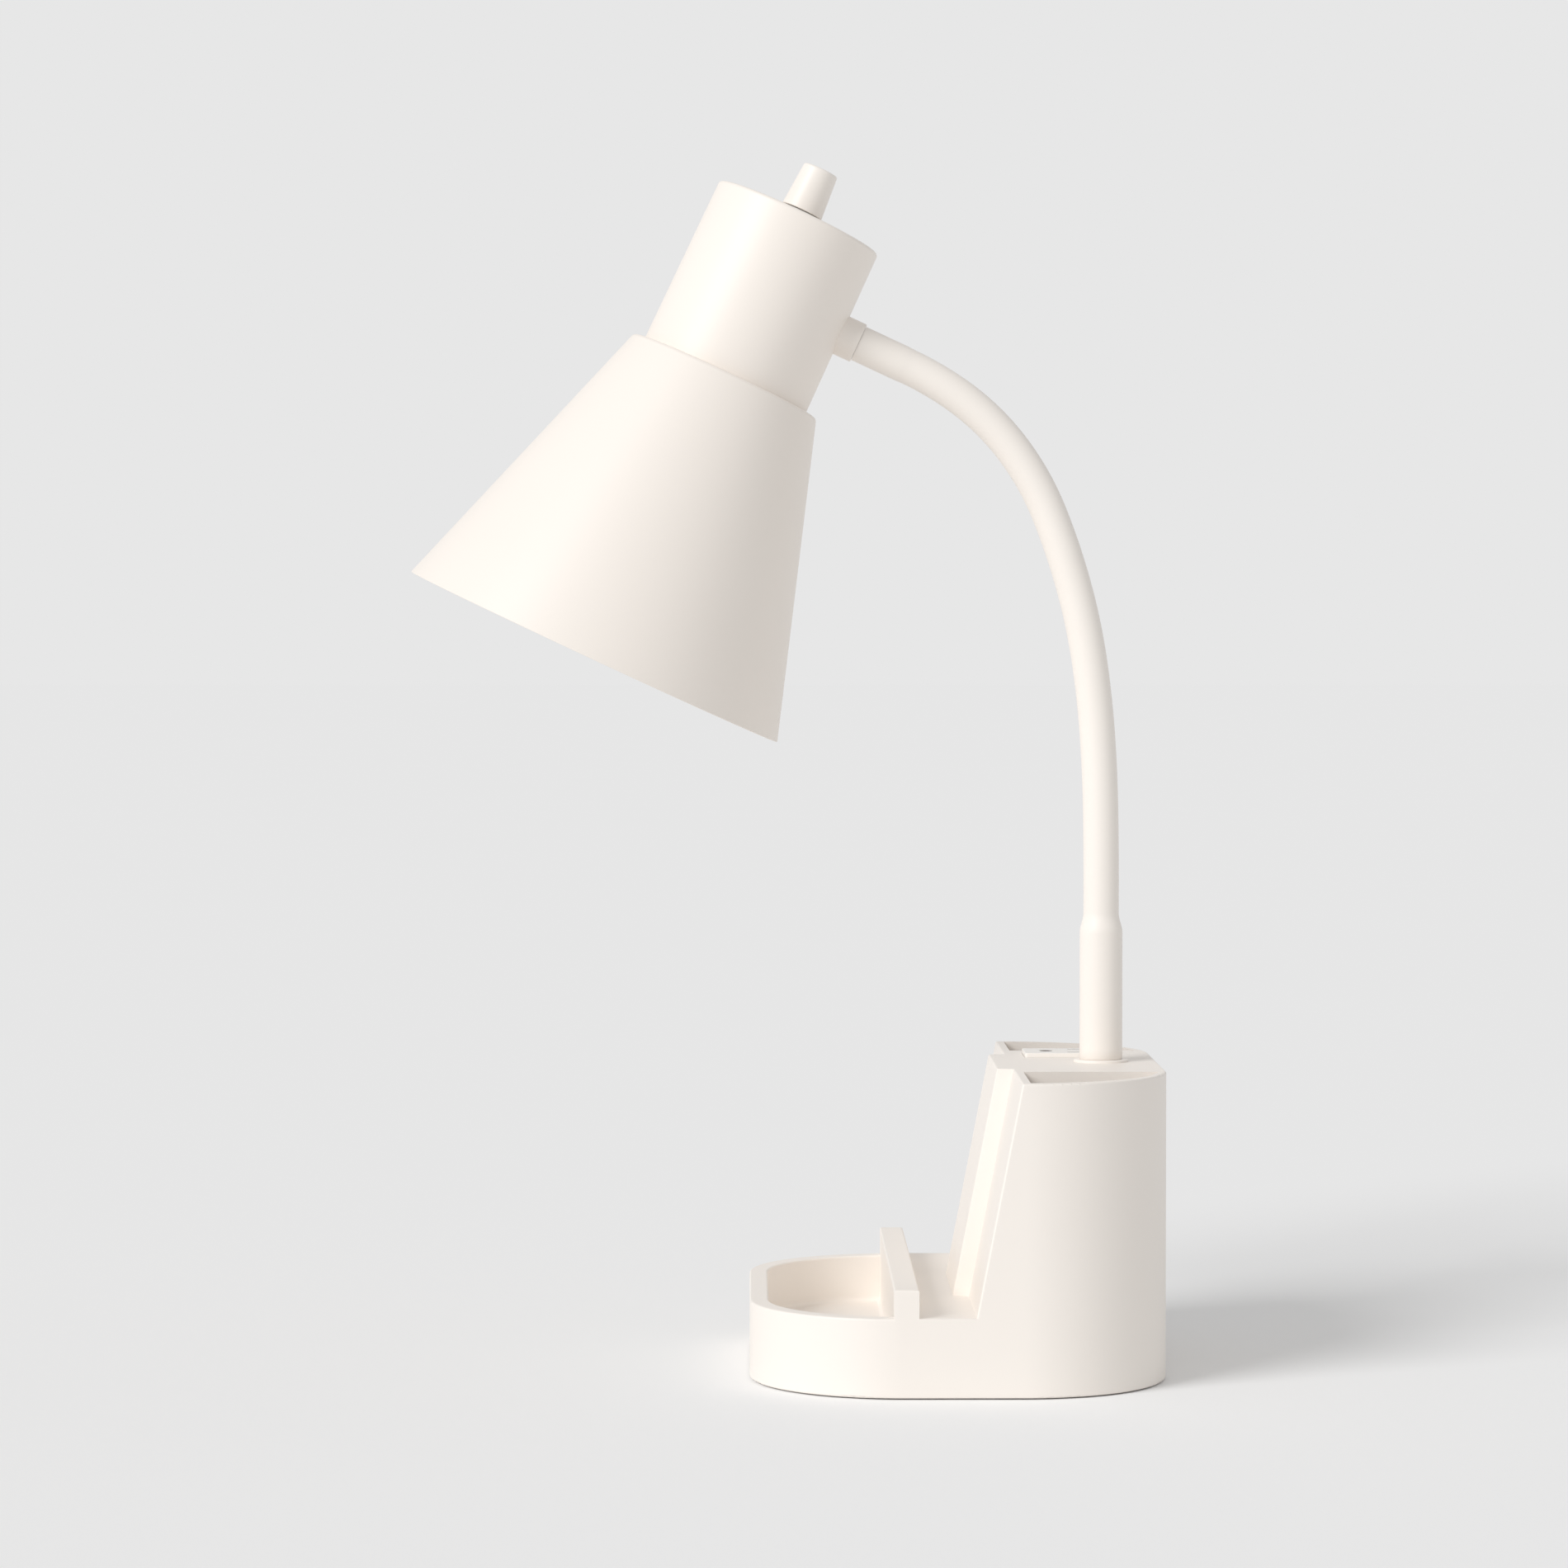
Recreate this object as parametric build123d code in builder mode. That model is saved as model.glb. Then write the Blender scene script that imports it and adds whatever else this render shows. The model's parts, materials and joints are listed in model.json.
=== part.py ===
from build123d import *
import os
from math import cos, sin, tan, radians, sqrt

os.makedirs("parts", exist_ok=True)

# All lengths are in millimetres. The lamp faces -X, +Z is up, and the origin is
# the middle of the base where it meets the desk.

# Base, outside
base_length = 154.4
base_width = 189.0
corner_radius = 55.0
desk_gap = 0.5  # the housing stands this far off the desk, on its pad
deck_height = 29.3
plateau_height = 114.1
front_lean = 11.0  # degrees
wing_depth = 72.7  # from the back to where the leaning front meets the deck
column_proud = 6.0
column_width = 63.0
column_splay = 1.6  # each side of the column spreads by this much towards its root
slot_width = 14.6  # between the ridge and the column
ridge_thickness = 9.1
ridge_height = 39.7
rim_wall = 7.0
tray_floor = 11.0
edge_round = 0.8
tray_round = 2.0

# Base, inside
wall = 3.0
roof = 2.8
core_wall = 2.5
well_floor = 24.0
near_well_edge = -45.1
far_well_edge = 49.7
boss_radius = 4.0
pilot_radius = 1.25
boss_inset = 11.0
cut_overrun = 5.0
snug = 0.2  # clearance between parts that drop into each other

# Underside
cover_thickness = 2.4
pad_inset = 4.0
ballast_thickness = 4.0
ballast_inset = 3.5
ballast_hole_gap = 1.0
screw_radius = 1.5
screw_head_radius = 2.8
screw_length = 6.0  # beyond what it clamps
ballast_screw_x = 38.0
ballast_screw_y = 30.0
countersink_angle = 90.0  # degrees

# Supply inlet
grommet_height = 17.0
grommet_bore = 3.6
grommet_radius = 6.0
grommet_flange_radius = 7.9
grommet_flange = 1.2
grommet_lip = 2.4
grommet_squeeze = 0.05

# Terminal block
block_from_neck = 36.0
block_length = 20.0
block_width = 16.0
block_height = 12.0
terminal_pitch = 8.0
terminal_screw_radius = 2.0
terminal_depth = 5.0
driver_slot = 0.8
outlet_lead_radius = 2.2

# Outlet
outlet_from_back = 18.4
outlet_length = 30.5
outlet_near = 17.3
outlet_width = 23.0
outlet_proud = 1.7
outlet_depth = 20.0  # below the tower's top
outlet_skin = 2.2
outlet_round = 1.0
flange_margin = 2.0
flange_depth = 8.0  # below the tower's top
flange_thickness = 2.4
ear_width = 6.4
ear_reach = 4.4
outlet_screw_head = 2.5
ground_hole_radius = 2.7
ground_to_blades = 11.9
blade_spacing = 12.7
blade_slot_width = 2.0
line_slot_length = 6.6
neutral_slot_length = 8.0
contact_leaf = 0.7
contact_gap = 1.6
contact_margin = 1.2
back_thickness = 2.4
outlet_screw_length = 7.0

# Neck
neck_from_back = 21.2
neck_radius = 6.7
core_radius = 5.6
wire_bore = 2.7
lamp_wire_radius = 2.0
wire_bend = 16.0
wire_stop = 6.0  # the lead ends this far from the head's axis
flange_radius = 10.3
neck_flange_thickness = 1.0
ferrule_radius = 7.0
ferrule_rise = 48.9  # above the tower's top
ferrule_floor = 5.0
ferrule_skin_radius = 8.1
shoulder_length = 7.5
first_joint_rise = 17.0  # above the ferrule
link_length = 28.8
tail_length = 22.0
upper_ferrule_length = 20.0
upper_ferrule_radius = 5.75
upper_skin_radius = 6.85
core_spigot_radius = 4.6
core_spigot_length = 14.0
link_turns = [1.0, 3.0, 4.5, 7.0, 6.5, 15.5, 17.5, 10.0]  # degrees, each towards the front
ball_step = 0.35
ball_gap = 0.07
joint_slit = 0.9
ball_foot = 2.4
sleeve_fit = 0.05
stud_radius = 4.9
stud_hole_gap = 0.15
nut_flats = 14.0
nut_thickness = 5.0
washer_radius = 8.5
washer_thickness = 1.5
stud_spare = 2.0

# Head
collar_radius = 7.7
collar_length = 7.2
collar_drop = 33.4  # below the cup's top, along the head's axis
cup_top_radius = 32.9
cup_bottom_radius = 33.5
cup_height = 65.9
cup_sheet = 0.8
cup_round = 1.5
shade_top_radius = 37.95
shade_rim_radius = 76.25
shade_height = 117.0
shade_sheet = 0.6
shade_round = 2.0
saddle_thickness = 3.0
bracket_thickness = 1.5
bracket_width = 16.0
bracket_drop = 20.0
bracket_reach = 9.0
bracket_screw_x = 6.0
bracket_screw_head = 2.6
bracket_screw_head_height = 1.6

# Lamp holder and its ring
holder_radius = 17.2
holder_flange_radius = 20.5
holder_flange = 4.0
skirt_radius = 17.9
skirt_length = 14.0
holder_floor_rise = 17.9  # above the cup's foot
holder_bore = 14.2
ring_radius = 23.5
ring_height = 7.0
ring_notches = 18
ring_notch_radius = 1.2
shell_radius = 13.8
shell_sheet = 0.4
shell_length = 24.0
shell_flange_radius = 8.0
contact_width = 6.0
contact_sheet = 0.6
contact_rise = 1.0

# Turn switch and knob
switch_radius = 10.5
switch_height = 15.0
bushing_radius = 4.8
bushing_rise = 3.6
switch_nut_flats = 11.0
switch_nut_height = 2.4
shaft_radius = 2.95
shaft_gap = 0.05
shaft_depth = 8.0
shaft_rest = 0.6  # under the shaft
knob_base_radius = 8.05
knob_top_radius = 6.8
knob_height = 17.2
knob_gap = 2.6  # the nut shows in it
knob_round = 1.0
knob_recess_radius = 6.9
knob_recess_depth = 2.0
knob_skin = 3.5
knob_grip = 0.02
lead_radius = 0.9
lead_offset = 9.4

# Bulb
bulb_shell_radius = 13.05
bulb_shell_length = 22.0
bulb_shell_sheet = 0.35
thread_pitch = 3.6
thread_height = 0.35
thread_turns = 5
bulb_insulator_height = 3.0
bulb_insulator_radius = 9.0
bulb_tip_radius = 4.6
bulb_tip_height = 1.6
bulb_neck_radius = 13.6
bulb_radius = 30.0
bulb_housing_height = 36.0
globe_height = 40.0
globe_bulge_share = 0.6
bulb_wall = 1.5
bulb_rest_gap = 0.3

# Where the main things are, worked out from the sizes above
lean_run = tan(radians(front_lean))
inner_shift = wall / cos(radians(front_lean))
half_length = base_length / 2
neck_x = half_length - neck_from_back
block_x = neck_x - block_from_neck
ferrule_top = plateau_height + ferrule_rise
first_joint_height = ferrule_top + first_joint_rise
half_width = base_width / 2
wing_front = half_length - wing_depth
column_front = wing_front - column_proud
ridge_back = column_front - slot_width
ridge_front = ridge_back - ridge_thickness
holder_floor_drop = cup_height - holder_floor_rise
cover_top = desk_gap + cover_thickness
ballast_top = cover_top + ballast_thickness
plateau_underside = plateau_height - roof
deck_underside = deck_height - roof


def front_at(foot, height):
    """x of a leaning face that meets the deck at foot"""
    return foot + (height - deck_height) * lean_run


# Room above the deck, in side view, in front of the tower
cut_top = plateau_height + cut_overrun
cut_front = -half_length - cut_overrun
open_side = [
    (cut_front, deck_height),
    (ridge_front, deck_height),
    (ridge_front, ridge_height),
    (ridge_back, ridge_height),
    (ridge_back, deck_height),
    (column_front, deck_height),
    (front_at(column_front, cut_top), cut_top),
    (cut_front, cut_top),
]

# Room beside the middle column in plan at the deck's height, from where it follows the leaning front
column_root = column_width / 2 + column_splay
splay_run = column_splay / column_proud
beside_column = [
    (column_front - cut_overrun, column_width / 2 - cut_overrun * splay_run),
    (wing_front, column_root),
    (wing_front, base_width),
    (column_front - cut_overrun, base_width),
]
lean_length = (cut_top - deck_height) / cos(radians(front_lean))

# Hollow under the deck and in the tower, in side view
core_top = ridge_height - roof
hollow_side = [
    (cut_front, 0),
    (half_length + cut_overrun, 0),
    (half_length + cut_overrun, plateau_underside),
    (front_at(column_front, plateau_underside) + inner_shift, plateau_underside),
    (front_at(column_front, deck_underside) + inner_shift, deck_underside),
    (ridge_back - core_wall, deck_underside),
    (ridge_back - core_wall, core_top),
    (ridge_front + core_wall, core_top),
    (ridge_front + core_wall, deck_underside),
    (cut_front, deck_underside),
]
hollow_strip = [
    (column_front - cut_overrun, deck_underside),
    (front_at(wing_front, deck_underside) + inner_shift, deck_underside),
    (front_at(wing_front, cut_top) + inner_shift, cut_top),
    (column_front - cut_overrun, cut_top),
]
column_inside = column_width / 2 - wall
wing_reach = half_width - column_inside

# Six bosses for the cover's screws
corner_x = half_length - corner_radius
corner_y = half_width - corner_radius
boss_reach = (corner_radius - boss_inset) * cos(radians(45))
boss_x = corner_x + boss_reach
boss_y = corner_y + boss_reach
side_boss_y = half_width - boss_inset
front_bosses = [(-boss_x, -boss_y), (-boss_x, boss_y)]
back_bosses = [(boss_x, -boss_y), (boss_x, boss_y)]
side_bosses = [(0, -side_boss_y), (0, side_boss_y)]
all_bosses = front_bosses + back_bosses + side_bosses

# The outlet's middle and its slots
outlet_x = half_length - outlet_from_back - outlet_length / 2
outlet_y = outlet_near + outlet_width / 2
pattern_length = ground_hole_radius + ground_to_blades + neutral_slot_length / 2
ground_x = outlet_x - pattern_length / 2 + ground_hole_radius
blade_x = ground_x + ground_to_blades
near_slot = (blade_x, outlet_y - blade_spacing / 2)
far_slot = (blade_x, outlet_y + blade_spacing / 2)
flange_level = plateau_height - flange_depth
near_ear_y = outlet_near - flange_margin - ear_reach / 2
far_ear_y = outlet_near + outlet_width + flange_margin + ear_reach / 2
ear_screws = [(outlet_x, near_ear_y), (outlet_x, far_ear_y)]

# Room under the deck and in the tower
with BuildPart() as hollow:
    with BuildSketch(Plane.XY):
        RectangleRounded(base_length - 2 * wall, base_width - 2 * wall, corner_radius - wall)
    extrude(amount=plateau_underside)
    with BuildSketch(Plane.XZ):
        Polygon(*hollow_side, align=None)
    extrude(amount=base_width, both=True, mode=Mode.INTERSECT)
    # beside the middle column the front wall lies further back
    for side in (-1, 1):
        with BuildSketch(Plane.XZ.offset(-side * column_inside)):
            Polygon(*hollow_strip, align=None)
        extrude(amount=-side * wing_reach, mode=Mode.SUBTRACT)
    # the tray's floor and walls
    with BuildSketch(Plane.XY.offset(tray_floor - roof)):
        RectangleRounded(
            base_length - 2 * (rim_wall - core_wall),
            base_width - 2 * (rim_wall - core_wall),
            corner_radius - (rim_wall - core_wall),
        )
        with Locations((ridge_front + core_wall, 0)):
            Rectangle(base_length, 2 * base_width, align=(Align.MAX, Align.CENTER), mode=Mode.INTERSECT)
    extrude(amount=ridge_height, mode=Mode.SUBTRACT)
    # the floors and inner walls of the two pen wells
    with BuildSketch(Plane.XY.offset(well_floor - roof)):
        with Locations((half_length + cut_overrun, near_well_edge + core_wall)):
            Rectangle(base_length, base_width, align=(Align.MAX, Align.MAX))
        with Locations((half_length + cut_overrun, far_well_edge - core_wall)):
            Rectangle(base_length, base_width, align=(Align.MAX, Align.MIN))
        with Locations((front_at(wing_front, well_floor), 0)):
            Rectangle(base_length, 2 * base_width, align=(Align.MIN, Align.CENTER), mode=Mode.INTERSECT)
    extrude(amount=plateau_height, mode=Mode.SUBTRACT)

# Room in the two pen wells
with BuildPart() as wells:
    with BuildSketch(Plane.XY.offset(well_floor)):
        RectangleRounded(base_length - 2 * wall, base_width - 2 * wall, corner_radius - wall)
        with Locations((0, (near_well_edge + far_well_edge) / 2)):
            Rectangle(2 * base_length, far_well_edge - near_well_edge, mode=Mode.SUBTRACT)
    extrude(amount=plateau_height)
    with BuildSketch(Plane.XZ):
        Polygon(
            (front_at(wing_front, 0) + inner_shift, 0),
            (half_length + cut_overrun, 0),
            (half_length + cut_overrun, cut_top),
            (front_at(wing_front, cut_top) + inner_shift, cut_top),
            align=None,
        )
    extrude(amount=base_width, both=True, mode=Mode.INTERSECT)

# Housing: tray and ridge in front, tower with a middle column and two wells behind
with BuildPart() as base_housing:
    with BuildSketch(Plane.XY.offset(desk_gap)):
        RectangleRounded(base_length, base_width, corner_radius)
    extrude(amount=plateau_height - desk_gap)
    with BuildSketch(Plane.XZ):
        Polygon(*open_side, align=None)
    extrude(amount=base_width, both=True, mode=Mode.SUBTRACT)
    for side in (-1, 1):
        with BuildSketch(Plane.XY.offset(deck_height)):
            Polygon(*[(x, side * y) for x, y in beside_column], align=None)
        extrude(amount=lean_length, dir=(lean_run, 0, 1), mode=Mode.SUBTRACT)
    with BuildSketch(Plane.XY.offset(deck_height)):
        RectangleRounded(base_length - 2 * rim_wall, base_width - 2 * rim_wall, corner_radius - rim_wall)
        with Locations((ridge_front, 0)):
            Rectangle(base_length, 2 * base_width, align=(Align.MAX, Align.CENTER), mode=Mode.INTERSECT)
    extrude(amount=tray_floor - deck_height, mode=Mode.SUBTRACT)
    tray_faces = base_housing.faces().filter_by_position(Axis.Z, tray_floor - snug, tray_floor + snug)
    fillet(tray_faces[0].edges(), radius=tray_round)
    leaning = base_housing.edges().filter_by(Axis((0, 0, 0), (lean_run, 0, 1)))
    front_corners = leaning.filter_by(lambda edge: abs(abs(edge.center().Y) - column_root) > snug)
    column_flank = (column_width / 2 + column_root) / 2
    top_edges = base_housing.edges().group_by(Axis.Z)[-1]
    top_edges = top_edges.filter_by(lambda edge: abs(abs(edge.center().Y) - column_flank) > snug)
    fillet(list(front_corners) + list(top_edges), radius=edge_round)
    ridge_edges = base_housing.edges().filter_by_position(Axis.Z, ridge_height - snug, ridge_height + snug)
    fillet(ridge_edges, radius=edge_round)
    rim_edges = base_housing.edges().filter_by_position(Axis.Z, deck_height - snug, deck_height + snug)
    fillet(rim_edges.filter_by_position(Axis.X, -half_length, ridge_front - snug), radius=edge_round)
    fillet(base_housing.edges().group_by(Axis.Z)[0], radius=edge_round)
    add(hollow.part, mode=Mode.SUBTRACT)
    add(wells.part, mode=Mode.SUBTRACT)
    # bosses under the tray, under the slot and under the wells
    for places, ceiling in (
        (front_bosses, tray_floor - roof),
        (side_bosses, deck_underside),
        (back_bosses, well_floor - roof),
    ):
        with BuildSketch(Plane.XY.offset(cover_top)):
            with Locations(*places):
                Circle(boss_radius)
        extrude(amount=ceiling - cover_top)
        with BuildSketch(Plane.XY.offset(cover_top)):
            with Locations(*places):
                Circle(pilot_radius)
        extrude(amount=screw_length, mode=Mode.SUBTRACT)
    # openings for the neck's stud, the outlet and the supply
    with BuildSketch(Plane.XY.offset(plateau_underside)):
        with Locations((neck_x, 0)):
            Circle(stud_radius + stud_hole_gap)
        with Locations((outlet_x, outlet_y)):
            Rectangle(outlet_length + 2 * snug, outlet_width + 2 * snug)
    extrude(amount=2 * roof, mode=Mode.SUBTRACT)
    with BuildSketch(Plane.XY.offset(flange_level)):
        with Locations(*ear_screws):
            Circle(ear_width / 2)
    extrude(amount=plateau_underside - flange_level)
    with BuildSketch(Plane.XY.offset(flange_level)):
        with Locations(*ear_screws):
            Circle(pilot_radius)
    extrude(amount=outlet_screw_length - flange_thickness, mode=Mode.SUBTRACT)
    with BuildSketch(Plane.YZ.offset(half_length)):
        with Locations((0, grommet_height)):
            Circle(grommet_flange_radius + snug)
    extrude(amount=-grommet_flange, mode=Mode.SUBTRACT)
    with BuildSketch(Plane.YZ.offset(half_length)):
        with Locations((0, grommet_height)):
            Circle(grommet_radius)
    extrude(amount=-wall - cut_overrun, mode=Mode.SUBTRACT)
base_housing.part.label = "base_housing"
export_step(base_housing.part, "parts/base_housing.step")

# Cover under the housing, with countersunk holes for its own screws and the ballast's
ballast_screws_at = [
    (x, y)
    for x in (-ballast_screw_x, ballast_screw_x)
    for y in (-ballast_screw_y, ballast_screw_y)
]
cover_inset = wall + snug
sink_hole_radius = screw_radius + snug
sink_radius = screw_head_radius + snug
with BuildPart() as bottom_cover:
    with BuildSketch(Plane.XY.offset(desk_gap)):
        RectangleRounded(
            base_length - 2 * cover_inset,
            base_width - 2 * cover_inset,
            corner_radius - cover_inset,
        )
    extrude(amount=cover_thickness)
    with Locations(bottom_cover.faces().sort_by(Axis.Z)[0]):
        with Locations(*[(x, -y) for x, y in all_bosses + ballast_screws_at]):
            CounterSinkHole(sink_hole_radius, sink_radius, counter_sink_angle=countersink_angle)
bottom_cover.part.label = "bottom_cover"
export_step(bottom_cover.part, "parts/bottom_cover.step")

# Soft pad that the lamp stands on
with BuildPart() as base_pad:
    with BuildSketch(Plane.XY):
        RectangleRounded(base_length - 2 * pad_inset, base_width - 2 * pad_inset, corner_radius - pad_inset)
    extrude(amount=desk_gap)
base_pad.part.label = "base_pad"
export_step(base_pad.part, "parts/base_pad.step")

# Iron plate on the cover, with room round the bosses
plate_inset = wall + ballast_inset
with BuildPart() as ballast_plate:
    with BuildSketch(Plane.XY.offset(cover_top)):
        RectangleRounded(
            base_length - 2 * plate_inset,
            base_width - 2 * plate_inset,
            corner_radius - plate_inset,
        )
        with Locations(*all_bosses):
            Circle(boss_radius + ballast_hole_gap, mode=Mode.SUBTRACT)
        with Locations(*ballast_screws_at):
            Circle(screw_radius - snug, mode=Mode.SUBTRACT)
    extrude(amount=ballast_thickness)
ballast_plate.part.label = "ballast_plate"
export_step(ballast_plate.part, "parts/ballast_plate.step")

# Flat-headed screws, as solids of revolution about each hole
head_depth = screw_head_radius - screw_radius
flat_screw_outline = [
    (0, desk_gap),
    (screw_head_radius, desk_gap),
    (screw_radius, desk_gap + head_depth),
    (screw_radius, cover_top),
    (pilot_radius, cover_top),
    (pilot_radius, cover_top + screw_length),
    (0, cover_top + screw_length),
]
plate_screw_outline = [
    (0, desk_gap),
    (screw_head_radius, desk_gap),
    (screw_radius, desk_gap + head_depth),
    (screw_radius, cover_top),
    (screw_radius - snug, cover_top),
    (screw_radius - snug, ballast_top),
    (0, ballast_top),
]
with BuildPart() as cover_screw:
    with BuildSketch(Plane.XZ):
        Polygon(*flat_screw_outline, align=None)
    revolve(axis=Axis.Z)
with BuildPart() as cover_screws:
    with Locations(*all_bosses):
        add(cover_screw.part)
cover_screws.part.label = "cover_screws"
export_step(cover_screws.part, "parts/cover_screws.step")

with BuildPart() as plate_screw:
    with BuildSketch(Plane.XZ):
        Polygon(*plate_screw_outline, align=None)
    revolve(axis=Axis.Z)
with BuildPart() as ballast_screws:
    with Locations(*ballast_screws_at):
        add(plate_screw.part)
ballast_screws.part.label = "ballast_screws"
export_step(ballast_screws.part, "parts/ballast_screws.step")

# Rubber grommet that lines the supply's hole
grommet_axis = Axis((0, 0, grommet_height), (1, 0, 0))
grommet_waist = grommet_radius - grommet_squeeze
wall_inside = half_length - wall
with BuildPart() as cord_grommet:
    with BuildSketch(Plane.XZ):
        Polygon(
            (half_length, grommet_height + grommet_bore),
            (half_length, grommet_height + grommet_flange_radius),
            (half_length - grommet_flange, grommet_height + grommet_flange_radius),
            (half_length - grommet_flange, grommet_height + grommet_waist),
            (wall_inside, grommet_height + grommet_waist),
            (wall_inside, grommet_height + grommet_flange_radius),
            (wall_inside - grommet_lip, grommet_height + grommet_radius),
            (wall_inside - grommet_lip, grommet_height + grommet_bore),
            align=None,
        )
    revolve(axis=grommet_axis)
cord_grommet.part.label = "cord_grommet"
export_step(cord_grommet.part, "parts/cord_grommet.step")

# Terminal block on the ballast plate, with its clamp screws
block_top = ballast_top + block_height
lead_height = ballast_top + block_height / 2
terminals = [
    (block_x + dx, dy)
    for dx in (-terminal_pitch / 2, terminal_pitch / 2)
    for dy in (-terminal_pitch / 2, terminal_pitch / 2)
]
with BuildPart() as terminal_block:
    with BuildSketch(Plane.XY.offset(ballast_top)):
        with Locations((block_x, 0)):
            Rectangle(block_length, block_width)
    extrude(amount=block_height)
    fillet(terminal_block.edges().group_by(Axis.Z)[-1], radius=edge_round)
    with BuildSketch(Plane.XY.offset(block_top)):
        with Locations(*terminals):
            Circle(terminal_screw_radius + snug)
    extrude(amount=-terminal_depth, mode=Mode.SUBTRACT)
terminal_block.part.label = "terminal_block"
export_step(terminal_block.part, "parts/terminal_block.step")

with BuildPart() as terminal_screws:
    with BuildSketch(Plane.XY.offset(block_top - terminal_depth)):
        with Locations(*terminals):
            Circle(terminal_screw_radius)
    extrude(amount=terminal_depth - terminal_screw_radius)
    with BuildSketch(Plane.XY.offset(block_top - terminal_screw_radius)):
        with Locations(*terminals):
            Rectangle(2 * terminal_screw_radius, driver_slot)
    extrude(amount=-driver_slot, mode=Mode.SUBTRACT)
terminal_screws.part.label = "terminal_screws"
export_step(terminal_screws.part, "parts/terminal_screws.step")

# Outlet: a raised block with a ground hole and two blade slots, hung under the tower's top
outlet_top = plateau_height + outlet_proud
outlet_bottom = plateau_height - outlet_depth
inside_length = outlet_length - 2 * outlet_skin
inside_width = outlet_width - 2 * outlet_skin
with BuildPart() as outlet_housing:
    with BuildSketch(Plane.XY.offset(outlet_bottom)):
        with Locations((outlet_x, outlet_y)):
            RectangleRounded(outlet_length, outlet_width, outlet_round)
    extrude(amount=outlet_top - outlet_bottom)
    fillet(outlet_housing.edges().group_by(Axis.Z)[-1], radius=edge_round / 2)
    with BuildSketch(Plane.XY.offset(flange_level)):
        with Locations((outlet_x, outlet_y)):
            Rectangle(outlet_length + 2 * flange_margin, outlet_width + 2 * flange_margin)
            Rectangle(ear_width, outlet_width + 2 * (flange_margin + ear_reach))
        with Locations(*ear_screws):
            Circle(screw_radius + snug, mode=Mode.SUBTRACT)
    extrude(amount=-flange_thickness)
    with BuildSketch(Plane.XY.offset(outlet_bottom)):
        with Locations((outlet_x, outlet_y)):
            Rectangle(inside_length, inside_width)
    extrude(amount=outlet_top - outlet_skin - outlet_bottom, mode=Mode.SUBTRACT)
    with BuildSketch(Plane.XY.offset(outlet_top)):
        with Locations((ground_x, outlet_y)):
            Circle(ground_hole_radius)
        with Locations(near_slot):
            Rectangle(neutral_slot_length, blade_slot_width)
        with Locations(far_slot):
            Rectangle(line_slot_length, blade_slot_width)
    extrude(amount=-2 * outlet_skin, mode=Mode.SUBTRACT)
outlet_housing.part.label = "outlet_housing"
export_step(outlet_housing.part, "parts/outlet_housing.step")

with BuildPart() as outlet_back:
    with BuildSketch(Plane.XY.offset(outlet_bottom - back_thickness)):
        with Locations((outlet_x, outlet_y)):
            Rectangle(outlet_length, outlet_width)
    extrude(amount=back_thickness)
    with BuildSketch(Plane.XY.offset(outlet_bottom)):
        with Locations((outlet_x, outlet_y)):
            Rectangle(inside_length - 2 * snug, inside_width - 2 * snug)
    extrude(amount=back_thickness)
outlet_back.part.label = "outlet_back"
export_step(outlet_back.part, "parts/outlet_back.step")

# Spring contacts: two leaves on a foot, one behind each slot and one round the ground hole
contact_floor = outlet_bottom + back_thickness
contact_top = outlet_top - outlet_skin - contact_margin
for contact_name, place, contact_length in (
    ("neutral_contact", near_slot, neutral_slot_length),
    ("line_contact", far_slot, line_slot_length),
):
    with BuildPart() as blade_contact:
        with BuildSketch(Plane.XY.offset(contact_floor)):
            with Locations(place):
                Rectangle(contact_length, contact_gap + 2 * contact_leaf)
        extrude(amount=contact_top - contact_floor)
        with BuildSketch(Plane.XY.offset(contact_floor + contact_leaf)):
            with Locations(place):
                Rectangle(2 * contact_length, contact_gap)
        extrude(amount=contact_top, mode=Mode.SUBTRACT)
    blade_contact.part.label = contact_name
    export_step(blade_contact.part, f"parts/{contact_name}.step")

with BuildPart() as ground_contact:
    with BuildSketch(Plane.XY.offset(contact_floor)):
        with Locations((ground_x, outlet_y)):
            Circle(ground_hole_radius + contact_leaf)
    extrude(amount=contact_top - contact_floor)
    with BuildSketch(Plane.XY.offset(contact_floor + contact_leaf)):
        with Locations((ground_x, outlet_y)):
            Circle(ground_hole_radius - contact_leaf / 2)
            Rectangle(contact_leaf, 2 * (ground_hole_radius + 2 * contact_leaf))
    extrude(amount=contact_top, mode=Mode.SUBTRACT)
ground_contact.part.label = "ground_contact"
export_step(ground_contact.part, "parts/ground_contact.step")

ear_underside = flange_level - flange_thickness
with BuildPart() as outlet_screws:
    with BuildSketch(Plane.XY.offset(ear_underside)):
        with Locations(*ear_screws):
            Circle(outlet_screw_head)
    extrude(amount=-screw_radius)
    with BuildSketch(Plane.XY.offset(ear_underside)):
        with Locations(*ear_screws):
            Circle(pilot_radius)
    extrude(amount=outlet_screw_length)
outlet_screws.part.label = "outlet_screws"
export_step(outlet_screws.part, "parts/outlet_screws.step")

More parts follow.
